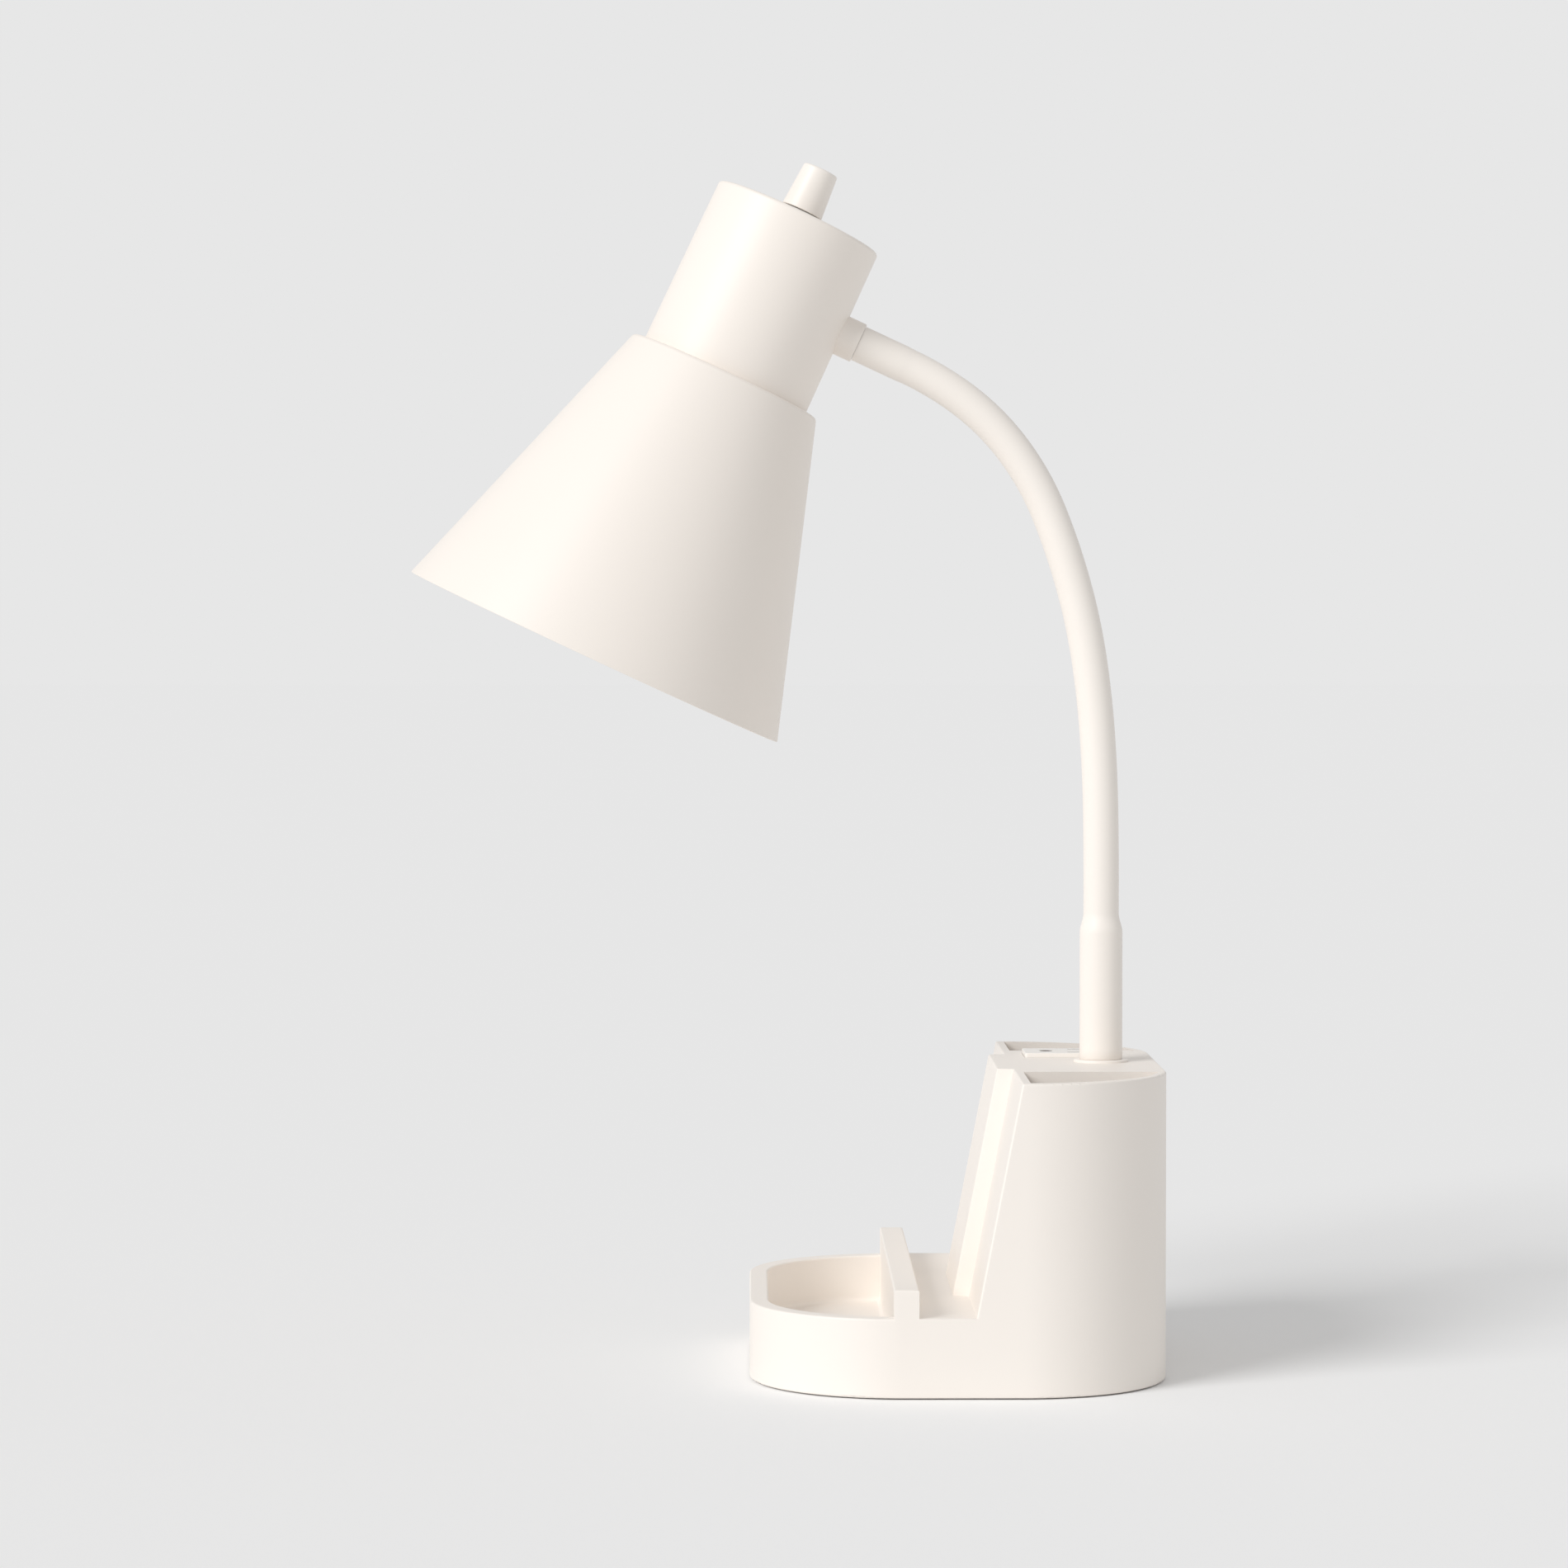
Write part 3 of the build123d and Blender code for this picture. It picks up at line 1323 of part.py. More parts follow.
globe_bulge = globe_height * globe_bulge_share
with BuildPart() as bulb_globe:
    with BuildSketch(head_section):
        with BuildLine():
            Bezier(
                (bulb_radius, globe_level),
                (bulb_radius, globe_level - globe_bulge),
                (bulb_radius * globe_bulge_share, globe_level - globe_height),
                (0, globe_level - globe_height),
            )
            Line((0, globe_level - globe_height), (0, globe_level - globe_height + bulb_wall))
            Bezier(
                (0, globe_level - globe_height + bulb_wall),
                ((bulb_radius - bulb_wall) * globe_bulge_share, globe_level - globe_height + bulb_wall),
                (bulb_radius - bulb_wall, globe_level - globe_bulge + bulb_wall),
                (bulb_radius - bulb_wall, globe_level),
            )
            Line((bulb_radius - bulb_wall, globe_level), (bulb_radius, globe_level))
        make_face()
    revolve(axis=head_axis)
bulb_globe.part.label = "bulb_globe"
export_step(bulb_globe.part, "parts/bulb_globe.step")
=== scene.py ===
import json
from math import cos, hypot, pi, radians, sin, tan

import bmesh
import bpy
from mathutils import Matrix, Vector


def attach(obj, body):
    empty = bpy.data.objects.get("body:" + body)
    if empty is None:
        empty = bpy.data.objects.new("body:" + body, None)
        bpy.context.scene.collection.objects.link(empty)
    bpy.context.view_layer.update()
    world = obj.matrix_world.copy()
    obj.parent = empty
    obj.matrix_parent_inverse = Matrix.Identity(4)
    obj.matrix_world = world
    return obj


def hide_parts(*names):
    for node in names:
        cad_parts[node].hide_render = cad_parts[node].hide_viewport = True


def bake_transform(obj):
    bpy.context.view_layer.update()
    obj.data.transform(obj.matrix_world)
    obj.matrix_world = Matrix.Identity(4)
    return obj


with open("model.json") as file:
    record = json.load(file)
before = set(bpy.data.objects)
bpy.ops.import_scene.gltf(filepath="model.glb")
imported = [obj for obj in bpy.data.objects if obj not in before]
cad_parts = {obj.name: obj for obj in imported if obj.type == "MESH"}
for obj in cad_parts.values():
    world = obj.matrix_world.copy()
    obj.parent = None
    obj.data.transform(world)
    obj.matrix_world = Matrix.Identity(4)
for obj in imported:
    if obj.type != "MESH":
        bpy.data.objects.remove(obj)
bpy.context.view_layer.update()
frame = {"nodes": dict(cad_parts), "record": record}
record = frame["record"]
nodes = frame["nodes"]
mm = 0.001
print("frame loaded:", len(nodes), "nodes")


# Camera and lamp

view = {
    "place": (-0.07706, -1.8, 0.26846),  # metres
    "yaw": 0.00717,                      # radians towards +X
    "pitch": 0.02727,                    # radians down
    "lens": 109.23,                      # millimetres, as the sensor's width is
    "sensor": 36.0,
    "farthest": 200.0,                   # metres that it sees
}
keyLight = {
    "fromLeft": 42.0,    # degrees round from -X towards the camera
    "height": 31.0,      # degrees above the floor
    "softness": 28.0,    # degrees that the lamp spans
    "strength": 1.75,
}


def addObject(name, data):
    thing = bpy.data.objects.new(name, data)
    bpy.context.scene.collection.objects.link(thing)
    return thing


def lookAlong(thing, direction):
    thing.rotation_euler = Vector(direction).to_track_quat("-Z", "Y").to_euler()


cameraData = bpy.data.cameras.new("camera")
cameraData.lens = view["lens"]
cameraData.sensor_width = view["sensor"]
cameraData.clip_end = view["farthest"]
camera = addObject("camera", cameraData)
camera.location = view["place"]
lookAlong(camera, (
    sin(view["yaw"]) * cos(view["pitch"]),
    cos(view["yaw"]) * cos(view["pitch"]),
    -sin(view["pitch"]),
))
bpy.context.scene.camera = camera
bpy.context.scene.view_settings.view_transform = "Standard"

keyData = bpy.data.lights.new("keyLamp", "SUN")
keyData.energy = keyLight["strength"]
keyData.angle = radians(keyLight["softness"])
keyLamp = addObject("keyLamp", keyData)
fromLeft = radians(keyLight["fromLeft"])
lampHeight = radians(keyLight["height"])
lookAlong(keyLamp, (
    cos(fromLeft) * cos(lampHeight),
    sin(fromLeft) * cos(lampHeight),
    -sin(lampHeight),
))


# Shader sums and nodes

class Wire:
    # a shader socket that can be used in sums

    def __init__(self, tree, socket):
        self.tree = tree
        self.socket = socket

    def work(self, operation, *values):
        node = self.tree.nodes.new("ShaderNodeMath")
        node.operation = operation
        for place, value in zip(node.inputs, values):
            feed(self.tree, value, place)
        return Wire(self.tree, node.outputs[0])

    def __add__(self, other):
        return self.work("ADD", self, other)

    def __radd__(self, other):
        return self.work("ADD", other, self)

    def __sub__(self, other):
        return self.work("SUBTRACT", self, other)

    def __rsub__(self, other):
        return self.work("SUBTRACT", other, self)

    def __mul__(self, other):
        return self.work("MULTIPLY", self, other)

    def __rmul__(self, other):
        return self.work("MULTIPLY", other, self)

    def size(self):
        return self.work("ABSOLUTE", self)

    def below(self, limit):
        return self.work("LESS_THAN", self, limit)


def feed(tree, value, place):
    if isinstance(value, Wire):
        tree.links.new(value.socket, place)
    elif isinstance(value, (tuple, list)):
        size = len(place.default_value)
        place.default_value = (*value, 1.0)[:size] if len(value) < size else value
    else:
        place.default_value = value


class Finish:
    # one material, or the world, and the nodes in it

    def __init__(self, owner):
        owner.use_nodes = True
        self.tree = owner.node_tree
        self.tree.nodes.clear()

    def node(self, kind, settings=None, values=None, output=0):
        # its settings come first, then the value or link of each socket
        made = self.tree.nodes.new(kind)
        for name, value in (settings or {}).items():
            setattr(made, name, value)
        for name, value in (values or {}).items():
            feed(self.tree, value, made.inputs[name])
        return Wire(self.tree, made.outputs[output]) if made.outputs else None

    def noise(self, where, scale, detail=2.0, roughness=0.5):
        return self.node("ShaderNodeTexNoise", None, {
            "Vector": where, "Scale": scale, "Detail": detail, "Roughness": roughness,
        })

    def mix(self, share, first, second):
        # by number, because this node's sockets share their names
        return self.node("ShaderNodeMix", {"data_type": "RGBA"}, {
            0: share, 6: first, 7: second,
        }, 2)

    def bump(self, height, distance):
        return self.node("ShaderNodeBump", None, {
            "Height": height, "Distance": distance, "Strength": 1.0,
        })

    def object(self):
        return self.node("ShaderNodeTexCoord", None, None, "Object")

    def split(self, vector):
        made = self.node("ShaderNodeSeparateXYZ", None, {"Vector": vector}).socket.node
        return [Wire(self.tree, socket) for socket in made.outputs]

    def stretched(self, scale):
        return self.node("ShaderNodeMapping", None, {"Vector": self.object(), "Scale": scale})

    def surface(self, shader):
        self.node("ShaderNodeOutputMaterial", None, {"Surface": shader})


def principled(finish, values):
    return finish.node("ShaderNodeBsdfPrincipled", None, values)


def shifted(colour, share):
    return tuple(min(1.0, c * share) for c in colour)


def drifted(finish, tone, colour, low, high):
    # the colour, darker and lighter by turns
    return finish.mix(tone, shifted(colour, low), shifted(colour, high))


def evenly(finish, tone, look):
    # the look's colour, as much darker as lighter
    return drifted(finish, tone, look["colour"], 1 - look["toneSpread"], 1 + look["toneSpread"])


def mouldedPlastic(name, look):
    # plastic with a fine spark-eroded grain and a faint drift in tone and gloss
    material = bpy.data.materials.new(name)
    finish = Finish(material)
    where = finish.object()
    tone = finish.noise(where, look["toneScale"], detail=3.0)
    grain = finish.noise(where, look["grainScale"], detail=3.0, roughness=0.6)
    gloss = finish.noise(where, look["glossScale"])
    finish.surface(principled(finish, {
        "Base Color": evenly(finish, tone, look),
        "Roughness": look["roughness"] + (gloss - 0.5) * look["glossSpread"]
                     + (grain - 0.5) * look["glossSpread"],
        "Normal": finish.bump(grain, look["grainDepth"]),
        "IOR": look["ior"],
    }))
    return material


def outletPlastic(name, look, openings):
    # smooth plastic, with painted shade on the walls inside each opening of (x, y, half length, half
    # width) in millimetres
    material = bpy.data.materials.new(name)
    finish = Finish(material)
    where = finish.object()
    x, y, z = finish.split(where)
    inside = 0.0
    for cx, cy, halfLength, halfWidth in openings:
        along = (x - cx * mm).size().below(halfLength * mm)
        inside = inside + along * (y - cy * mm).size().below(halfWidth * mm)
    # painted shade: the walls of each opening below a thin lit band at the top take a dark colour,
    # standing in for the shade deep in the hole
    shadedDeep = z.below((look["top"] - look["lit"]) * mm)
    tone = finish.noise(where, look["toneScale"], detail=3.0)
    plain = evenly(finish, tone, look)
    grain = finish.noise(where, look["grainScale"], detail=3.0, roughness=0.6)
    finish.surface(principled(finish, {
        # the plastic's colour, with the painted shade colour inside the openings
        "Base Color": finish.mix(inside * shadedDeep, plain, look["shade"]),
        "Roughness": look["roughness"] + (grain - 0.5) * look["glossSpread"],
        "Normal": finish.bump(grain, look["grainDepth"]),
        "IOR": look["ior"],
    }))
    return material


def sprayedPaint(name, look):
    # paint on sheet metal, with a shallow orange peel
    material = bpy.data.materials.new(name)
    finish = Finish(material)
    where = finish.object()
    tone = finish.noise(where, look["toneScale"])
    peel = finish.noise(where, look["peelScale"], detail=1.0, roughness=0.4)
    fine = finish.noise(where, look["fineScale"], roughness=0.6)
    finish.surface(principled(finish, {
        "Base Color": evenly(finish, tone, look),
        "Roughness": look["roughness"] + (fine - 0.5) * look["glossSpread"],
        "Normal": finish.bump(peel + fine * look["fineShare"], look["peelDepth"]),
        "IOR": look["ior"],
        "Coat Weight": look["coat"],
        "Coat Roughness": look["coatRoughness"],
    }))
    return material


def plainMetal(name, look):
    # drawn or plated metal, with fine streaks along one axis
    material = bpy.data.materials.new(name)
    finish = Finish(material)
    streaks = finish.noise(finish.stretched(look["streakScale"]), 1.0, detail=4.0, roughness=0.7)
    stain = finish.noise(finish.object(), look["stainScale"], detail=3.0)
    finish.surface(principled(finish, {
        "Base Color": drifted(finish, stain, look["colour"], look["stained"], look["bright"]),
        "Metallic": 1.0,
        "Roughness": look["roughness"] + (streaks - 0.5) * look["streakGloss"]
                     + (stain - 0.5) * look["stainGloss"],
        "Normal": finish.bump(streaks, look["streakDepth"]),
    }))
    return material


def foamRubber(name, look):
    # soft foam with small closed cells
    material = bpy.data.materials.new(name)
    finish = Finish(material)
    where = finish.object()
    cells = finish.node("ShaderNodeTexVoronoi", None, {"Vector": where, "Scale": look["cellScale"]})
    tone = finish.noise(where, look["toneScale"], detail=3.0)
    finish.surface(principled(finish, {
        "Base Color": drifted(finish, tone, look["colour"], look["worn"], look["dusty"]),
        "Roughness": look["roughness"] - cells * look["cellGloss"],
        "Normal": finish.bump(cells, look["cellDepth"]),
    }))
    return material


def frostedGlobe(name, look):
    # milky diffuser with a fine frosted grain
    material = bpy.data.materials.new(name)
    finish = Finish(material)
    where = finish.object()
    haze = finish.noise(where, look["hazeScale"])
    tone = finish.noise(where, look["toneScale"])
    finish.surface(principled(finish, {
        "Base Color": finish.mix(tone, look["colour"], look["otherColour"]),
        "Roughness": look["roughness"] + (haze - 0.5) * look["hazeGloss"],
        "Normal": finish.bump(haze, look["hazeDepth"]),
        "Subsurface Weight": look["milkiness"],
        "Subsurface Radius": look["milkDepth"],
        "Subsurface Scale": 1.0,
    }))
    return material


# Looks: scales are in cycles to the metre, and depths in metres

warmWhite = (0.925, 0.870, 0.812)
paintWhite = (0.915, 0.853, 0.790)

plasticLook = {
    "colour": warmWhite, "toneSpread": 0.010, "toneScale": 22.0,
    "grainScale": 2600.0, "grainDepth": 0.000012,
    "glossScale": 45.0, "roughness": 0.46, "glossSpread": 0.08, "ior": 1.48,
}
paintLook = {
    "colour": paintWhite, "toneSpread": 0.006, "toneScale": 14.0,
    "peelScale": 620.0, "fineScale": 3200.0, "fineShare": 0.15, "peelDepth": 0.000010,
    "roughness": 0.48, "glossSpread": 0.07, "ior": 1.5, "coat": 0.08, "coatRoughness": 0.35,
}
metalLook = {
    "colour": (0.60, 0.61, 0.62), "roughness": 0.34,
    "streakScale": (2500.0, 2500.0, 180.0), "streakDepth": 0.000006, "streakGloss": 0.14,
    "stainScale": 240.0, "stained": 0.94, "bright": 1.05, "stainGloss": 0.1,
}

# the outlet's ground hole and two slots, painted with shade inside: x, y, half length, half width, with a
# hair's breadth over
outletOpenings = [
    (36.95, 28.8, 2.75, 2.75),
    (48.85, 22.45, 4.05, 1.05),
    (48.85, 35.15, 3.35, 1.05),
]


def like(base, **changes):
    return {**base, **changes}


finishes = {
    "housing_plastic": mouldedPlastic("housingPlastic", plasticLook),
    "pad_rubber": foamRubber("padFoam", {
        "colour": (0.055, 0.055, 0.055), "roughness": 0.9,
        "cellScale": 2600.0, "cellDepth": 0.00008, "cellGloss": 0.1,
        "toneScale": 160.0, "worn": 0.8, "dusty": 1.3,
    }),
    "ballast_steel": plainMetal("ballastSteel", like(
        metalLook, colour=(0.20, 0.20, 0.21), roughness=0.55, stainScale=90.0)),
    "zinc_steel": plainMetal("zincSteel", metalLook),
    "grommet_plastic": mouldedPlastic("grommetPlastic", like(plasticLook, roughness=0.55)),
    "block_plastic": mouldedPlastic("blockPlastic", like(
        plasticLook, colour=(0.70, 0.67, 0.60), roughness=0.5)),
    # shade is the painted shade colour in the openings, below the top (millimetres) less the lit band
    # (millimetres)
    "outlet_plastic": outletPlastic("outletPlastic", like(
        plasticLook, colour=(0.93, 0.89, 0.84), roughness=0.32, grainDepth=0.000004,
        shade=(0.05, 0.038, 0.03), top=115.8, lit=0.15,
    ), outletOpenings),
    "contact_brass": plainMetal("contactBrass", like(
        metalLook, colour=(0.62, 0.36, 0.17), roughness=0.36)),
    "wire_plastic": mouldedPlastic("wirePlastic", like(
        plasticLook, colour=(0.80, 0.79, 0.76), grainDepth=0.000006)),
    "flange_plastic": mouldedPlastic("flangePlastic", like(plasticLook, roughness=0.38)),
    "skin_plastic": mouldedPlastic("skinPlastic", like(
        plasticLook, roughness=0.5, grainScale=1500.0, grainDepth=0.000016)),
    "collar_paint": sprayedPaint("collarPaint", paintLook),
    "shade_paint": sprayedPaint("shadePaint", paintLook),
    "knob_plastic": mouldedPlastic("knobPlastic", like(
        plasticLook, roughness=0.42, grainDepth=0.000004)),
    "shell_aluminium": plainMetal("shellAluminium", like(
        metalLook, colour=(0.78, 0.78, 0.79), roughness=0.28)),
    "insulator_glass": mouldedPlastic("insulatorGlass", like(
        plasticLook, colour=(0.012, 0.012, 0.014), roughness=0.12, grainDepth=0.000002)),
    "bulb_plastic": mouldedPlastic("bulbPlastic", like(
        plasticLook, colour=(0.84, 0.83, 0.81), roughness=0.36)),
    "globe_plastic": frostedGlobe("globePlastic", {
        "colour": (0.90, 0.885, 0.84), "otherColour": (0.885, 0.868, 0.82), "toneScale": 60.0,
        "roughness": 0.38, "hazeScale": 900.0, "hazeDepth": 0.000006, "hazeGloss": 0.06,
        "milkiness": 0.15, "milkDepth": (0.004, 0.0035, 0.003),
    }),
}
slotOf = {row["node"]: row["material_slot"] for row in record["subparts"]}
for name, thing in nodes.items():
    thing.data.materials.clear()
    thing.data.materials.append(finishes[slotOf[name]])
print("finishes made:", len(finishes))


# Floor and sky

floor = {
    "colour": (0.972, 0.972, 0.972), "toneScale": 3.0, "toneSpread": 0.002,
    "half": 40.0,          # metres
}
studio = {
    "sky": 0.53,
    "backdrop": 0.7991,    # behind the lamp, as the camera sees it
}

floorMaterial = bpy.data.materials.new("floorPaper")
floorFinish = Finish(floorMaterial)
floorTone = floorFinish.noise(floorFinish.object(), floor["toneScale"])
floorFinish.surface(principled(floorFinish, {
    "Base Color": evenly(floorFinish, floorTone, floor),
    "Roughness": 1.0,
    "Specular IOR Level": 0.0,
}))
half = floor["half"]
floorMesh = bpy.data.meshes.new("floor")
floorMesh.from_pydata([(-half, -half, 0), (half, -half, 0), (half, half, 0), (-half, half, 0)],
                      [], [(0, 1, 2, 3)])
floorMesh.materials.append(floorMaterial)
addObject("floor", floorMesh)

world = bpy.data.worlds.new("studio")
bpy.context.scene.world = world
sky = Finish(world)
cameraRay = sky.node("ShaderNodeLightPath", None, None, "Is Camera Ray")
glossyRay = sky.node("ShaderNodeLightPath", None, None, "Is Glossy Ray")
transmissionRay = sky.node("ShaderNodeLightPath", None, None, "Is Transmission Ray")
seen = cameraRay.work("MAXIMUM", cameraRay, glossyRay.work("MAXIMUM", glossyRay, transmissionRay))
sky.node("ShaderNodeOutputWorld", None, {
    "Surface": sky.node("ShaderNodeBackground", None, {
        "Color": (1.0, 1.0, 1.0),
        "Strength": studio["sky"] + seen * (studio["backdrop"] - studio["sky"]),
    }),
})
print("studio made")


# Mesh helpers

rounding = {
    "step": 9.0,     # degrees between the points of a rounded corner
    "least": 3,      # the fewest steps in one
    "sharp": 35.0,   # degrees: an edge that turns more than this isn't smoothed
}


def headed(degrees):
    # a direction in the plane of the neck: 0 is +X and 90 is up
    return Vector((cos(radians(degrees)), 0, sin(radians(degrees))))


def closedMesh(name, rings, slot, sharpAngle=rounding["sharp"]):
    # rings of points, each joined to the next and the last to the first
    count = len(rings[0])
    points = [point for ring in rings for point in ring]
    faces = []
    for i in range(len(rings)):
        here, after = i * count, (i + 1) % len(rings) * count
        for j in range(count):
            k = (j + 1) % count
            faces.append((here + j, here + k, after + k, after + j))
    mesh = bpy.data.meshes.new(name)
    mesh.from_pydata([tuple(point) for point in points], [], faces)
    mesh.validate()
    mesh.update()
    mesh.materials.append(finishes[slot])
    mesh.shade_smooth()
    mesh.set_sharp_from_angle(angle=radians(sharpAngle))
    thing = addObject(name, mesh)
    return thing


def rounded(outline):
    # closed outline of (across, along, radius): each corner with a radius becomes an arc
    result = []
    count = len(outline)
    for i, (x, y, radius) in enumerate(outline):
        here = Vector((x, y))
        if not radius:
            result.append(here)
            continue
        before = Vector(outline[i - 1][:2]) - here
        after = Vector(outline[(i + 1) % count][:2]) - here
        before.normalize()
        after.normalize()
        halfTurn = before.angle(after) / 2
        reach = radius / tan(halfTurn)
        centre = here + (before + after).normalized() * (radius / sin(halfTurn))
        first = here + before * reach - centre
        last = here + after * reach - centre
        sweep = first.angle_signed(last)
        steps = max(rounding["least"], int(abs(sweep) / radians(rounding["step"])) + 1)
        for step in range(steps + 1):
            turn = -sweep * step / steps
            result.append(centre + Vector((
                first.x * cos(turn) - first.y * sin(turn),
                first.x * sin(turn) + first.y * cos(turn),
            )))
    return result


def turned(name, outline, slot, origin, up, across, segments):
    # closed outline of (distance from the axis, height along it, corner radius), turned about the axis
    up = Vector(up).normalized()
    across = (Vector(across) - up * Vector(across).dot(up)).normalized()
    side = up.cross(across)
    origin = Vector(origin)
    rings = []
    for point in rounded(outline):
        radius, height = point.x * mm, point.y * mm
        ring = []
        for j in range(segments):
            turn = 2 * pi * j / segments
            ring.append(origin + up * height + (across * cos(turn) + side * sin(turn)) * radius)
        rings.append(ring)
    return closedMesh(name, rings, slot)


# Base housing: the CAD shell, with the normals of its flat and upright faces carried out to the
# edges of the roundings, so that these catch the light in one clean line

housing = {
    "merge": 0.002,      # millimetres between points that are one
    "least": 0.0005,     # millimetres: an edge shorter than this goes
    "thin": 0.012,       # millimetres: a triangle narrower than this has no say in the normals
    "flat": 0.0005,      # how far a normal may be off for its face to count as flat or upright
    "crease": 40.0,      # degrees: roundings turn less than this from face to face
    "lean": 11.0,        # degrees of the tower's front from upright
}


def cornerNormals(mesh, h):
    # a normal for each corner: the mean of its point's smooth faces, weighted by their angles there,
    # and of the flat and upright ones alone where there are any
    leaning = Vector((-cos(radians(h["lean"])), 0, sin(radians(h["lean"]))))
    crease = cos(radians(h["crease"]))
    facesAt = [[] for _ in mesh.vertices]
    plain = set()
    thin = set()
    for face in mesh.polygons:
        n = face.normal
        if min(abs(n.z), 1 - abs(n.z), 1 - abs(n.dot(leaning))) < h["flat"]:
            plain.add(face.index)
        points = [mesh.vertices[v].co for v in face.vertices]
        longest = max((points[i] - points[i - 1]).length for i in range(len(points)))
        if 2 * face.area < longest * h["thin"] * mm:
            thin.add(face.index)
            continue
        for i, v in enumerate(face.vertices):
            before = points[i - 1] - points[i]
            after = points[(i + 1) % len(points)] - points[i]
            facesAt[v].append((face.index, n, before.angle(after)))

    normals = []
    for face in mesh.polygons:
        for v in face.vertices:
            facing = face.normal
            if face.index in thin:
                around = sum((n * angle for k, n, angle in facesAt[v] if n.dot(facing) > 0), Vector())
                facing = around.normalized() if around.length else facing
            near = [entry for entry in facesAt[v] if entry[1].dot(facing) > crease]
            near = [entry for entry in near if entry[0] in plain] or near
            total = sum((n * angle for k, n, angle in near), Vector())
            normals.append(total.normalized() if total.length else facing)
    return normals


def makeHousing(h):
    mesh = nodes["base_housing"].data.copy()
    mesh.name = "baseHousing"
    shell = bmesh.new()
    shell.from_mesh(mesh)
    bmesh.ops.remove_doubles(shell, verts=shell.verts, dist=h["merge"] * mm)
    bmesh.ops.dissolve_degenerate(shell, edges=shell.edges, dist=h["least"] * mm)
    shell.to_mesh(mesh)
    shell.free()
    mesh.shade_smooth()
    mesh.normals_split_custom_set(cornerNormals(mesh, h))
    piece = addObject("baseHousing", mesh)
    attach(piece, "base")
    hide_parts("base_housing")


makeHousing(housing)
print("housing made")


# Head: heights are from the cup's top, up the head's axis, in millimetres

head = {
    "top": (-0.058507, 0.0, 0.433150),    # metres
    "tilt": 65.0,            # degrees of the axis above the floor, towards +X
    "switchHole": 4.95,
    "cupTop": 32.9, "cupFoot": 33.5, "cupHeight": 65.9, "cupSheet": 0.8, "cupRound": 1.4,
    "shadeTop": 37.95, "shadeRim": 76.25, "shadeHeight": 117.0, "shadeSheet": 0.6,
    "shadeRound": 1.9, "shadeHole": 18.1, "edge": 0.28,
    "rimRound": 0.42,        # of the sheet's thickness
    "knobFoot": 8.05, "knobTop": 6.8, "knobLow": 2.6, "knobHigh": 19.8, "knobRound": 1.0,
    "knobRecess": 6.9, "knobRecessDepth": 2.0, "knobInnerEdge": 0.2, "knobOuterEdge": 0.3,
    "shaftHole": 2.97, "shaftTop": 16.3,
    "pinhole": 0.01,         # left on the axis where a face closes
    "shadeSegments": 288, "cupSegments": 224, "knobSegments": 128,
}
headUp = headed(head["tilt"])
toNeck = Vector((headUp.z, 0, -headUp.x))


def headPiece(name, outline, slot, body, segments, replaced):
    piece = turned(name, outline, slot, head["top"], headUp, toNeck, segments)
    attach(piece, body)
    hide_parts(replaced)


def makeShade(h):
    foot = -h["cupHeight"]
    rim = foot - h["shadeHeight"]
    slope = (h["shadeRim"] - h["shadeTop"]) / h["shadeHeight"]
    skin = h["shadeSheet"] * hypot(1, slope)
    headPiece("shadeCone", [
        (h["shadeHole"], foot, h["edge"] / 2),
        (h["shadeTop"], foot, h["shadeRound"]),
        (h["shadeRim"], rim, skin * h["rimRound"]),
        (h["shadeRim"] - skin, rim, skin * h["rimRound"]),
        (h["shadeTop"] - skin + slope * h["shadeSheet"], foot - h["shadeSheet"],
         h["shadeRound"] - h["shadeSheet"]),
        (h["shadeHole"], foot - h["shadeSheet"], h["edge"] / 2),
    ], "shade_paint", "head", h["shadeSegments"], "shade")


def makeCup(h):
    foot = -h["cupHeight"]
    headPiece("socketCup", [
        (h["switchHole"], 0, h["edge"]),
        (h["cupTop"], 0, h["cupRound"]),
        (h["cupFoot"], foot, h["edge"]),
        (h["cupFoot"] - h["cupSheet"], foot, h["edge"]),
        (h["cupTop"] - h["cupSheet"], -h["cupSheet"], h["cupRound"] - h["cupSheet"]),
        (h["switchHole"], -h["cupSheet"], h["edge"]),
    ], "shade_paint", "head", h["cupSegments"], "socket_cup")


def makeKnob(h):
    headPiece("switchKnob", [
        (h["pinhole"], h["shaftTop"], 0),
        (h["shaftHole"], h["shaftTop"], 0),
        (h["shaftHole"], h["knobLow"] + h["knobRecessDepth"], 0),
        (h["knobRecess"], h["knobLow"] + h["knobRecessDepth"], 0),
        (h["knobRecess"], h["knobLow"], h["knobInnerEdge"]),
        (h["knobFoot"], h["knobLow"], h["knobOuterEdge"]),
        (h["knobTop"], h["knobHigh"], h["knobRound"]),
        (h["pinhole"], h["knobHigh"], 0),
    ], "knob_plastic", "knob", h["knobSegments"], "switch_knob")


makeShade(head)
makeCup(head)
makeKnob(head)
print("head made")
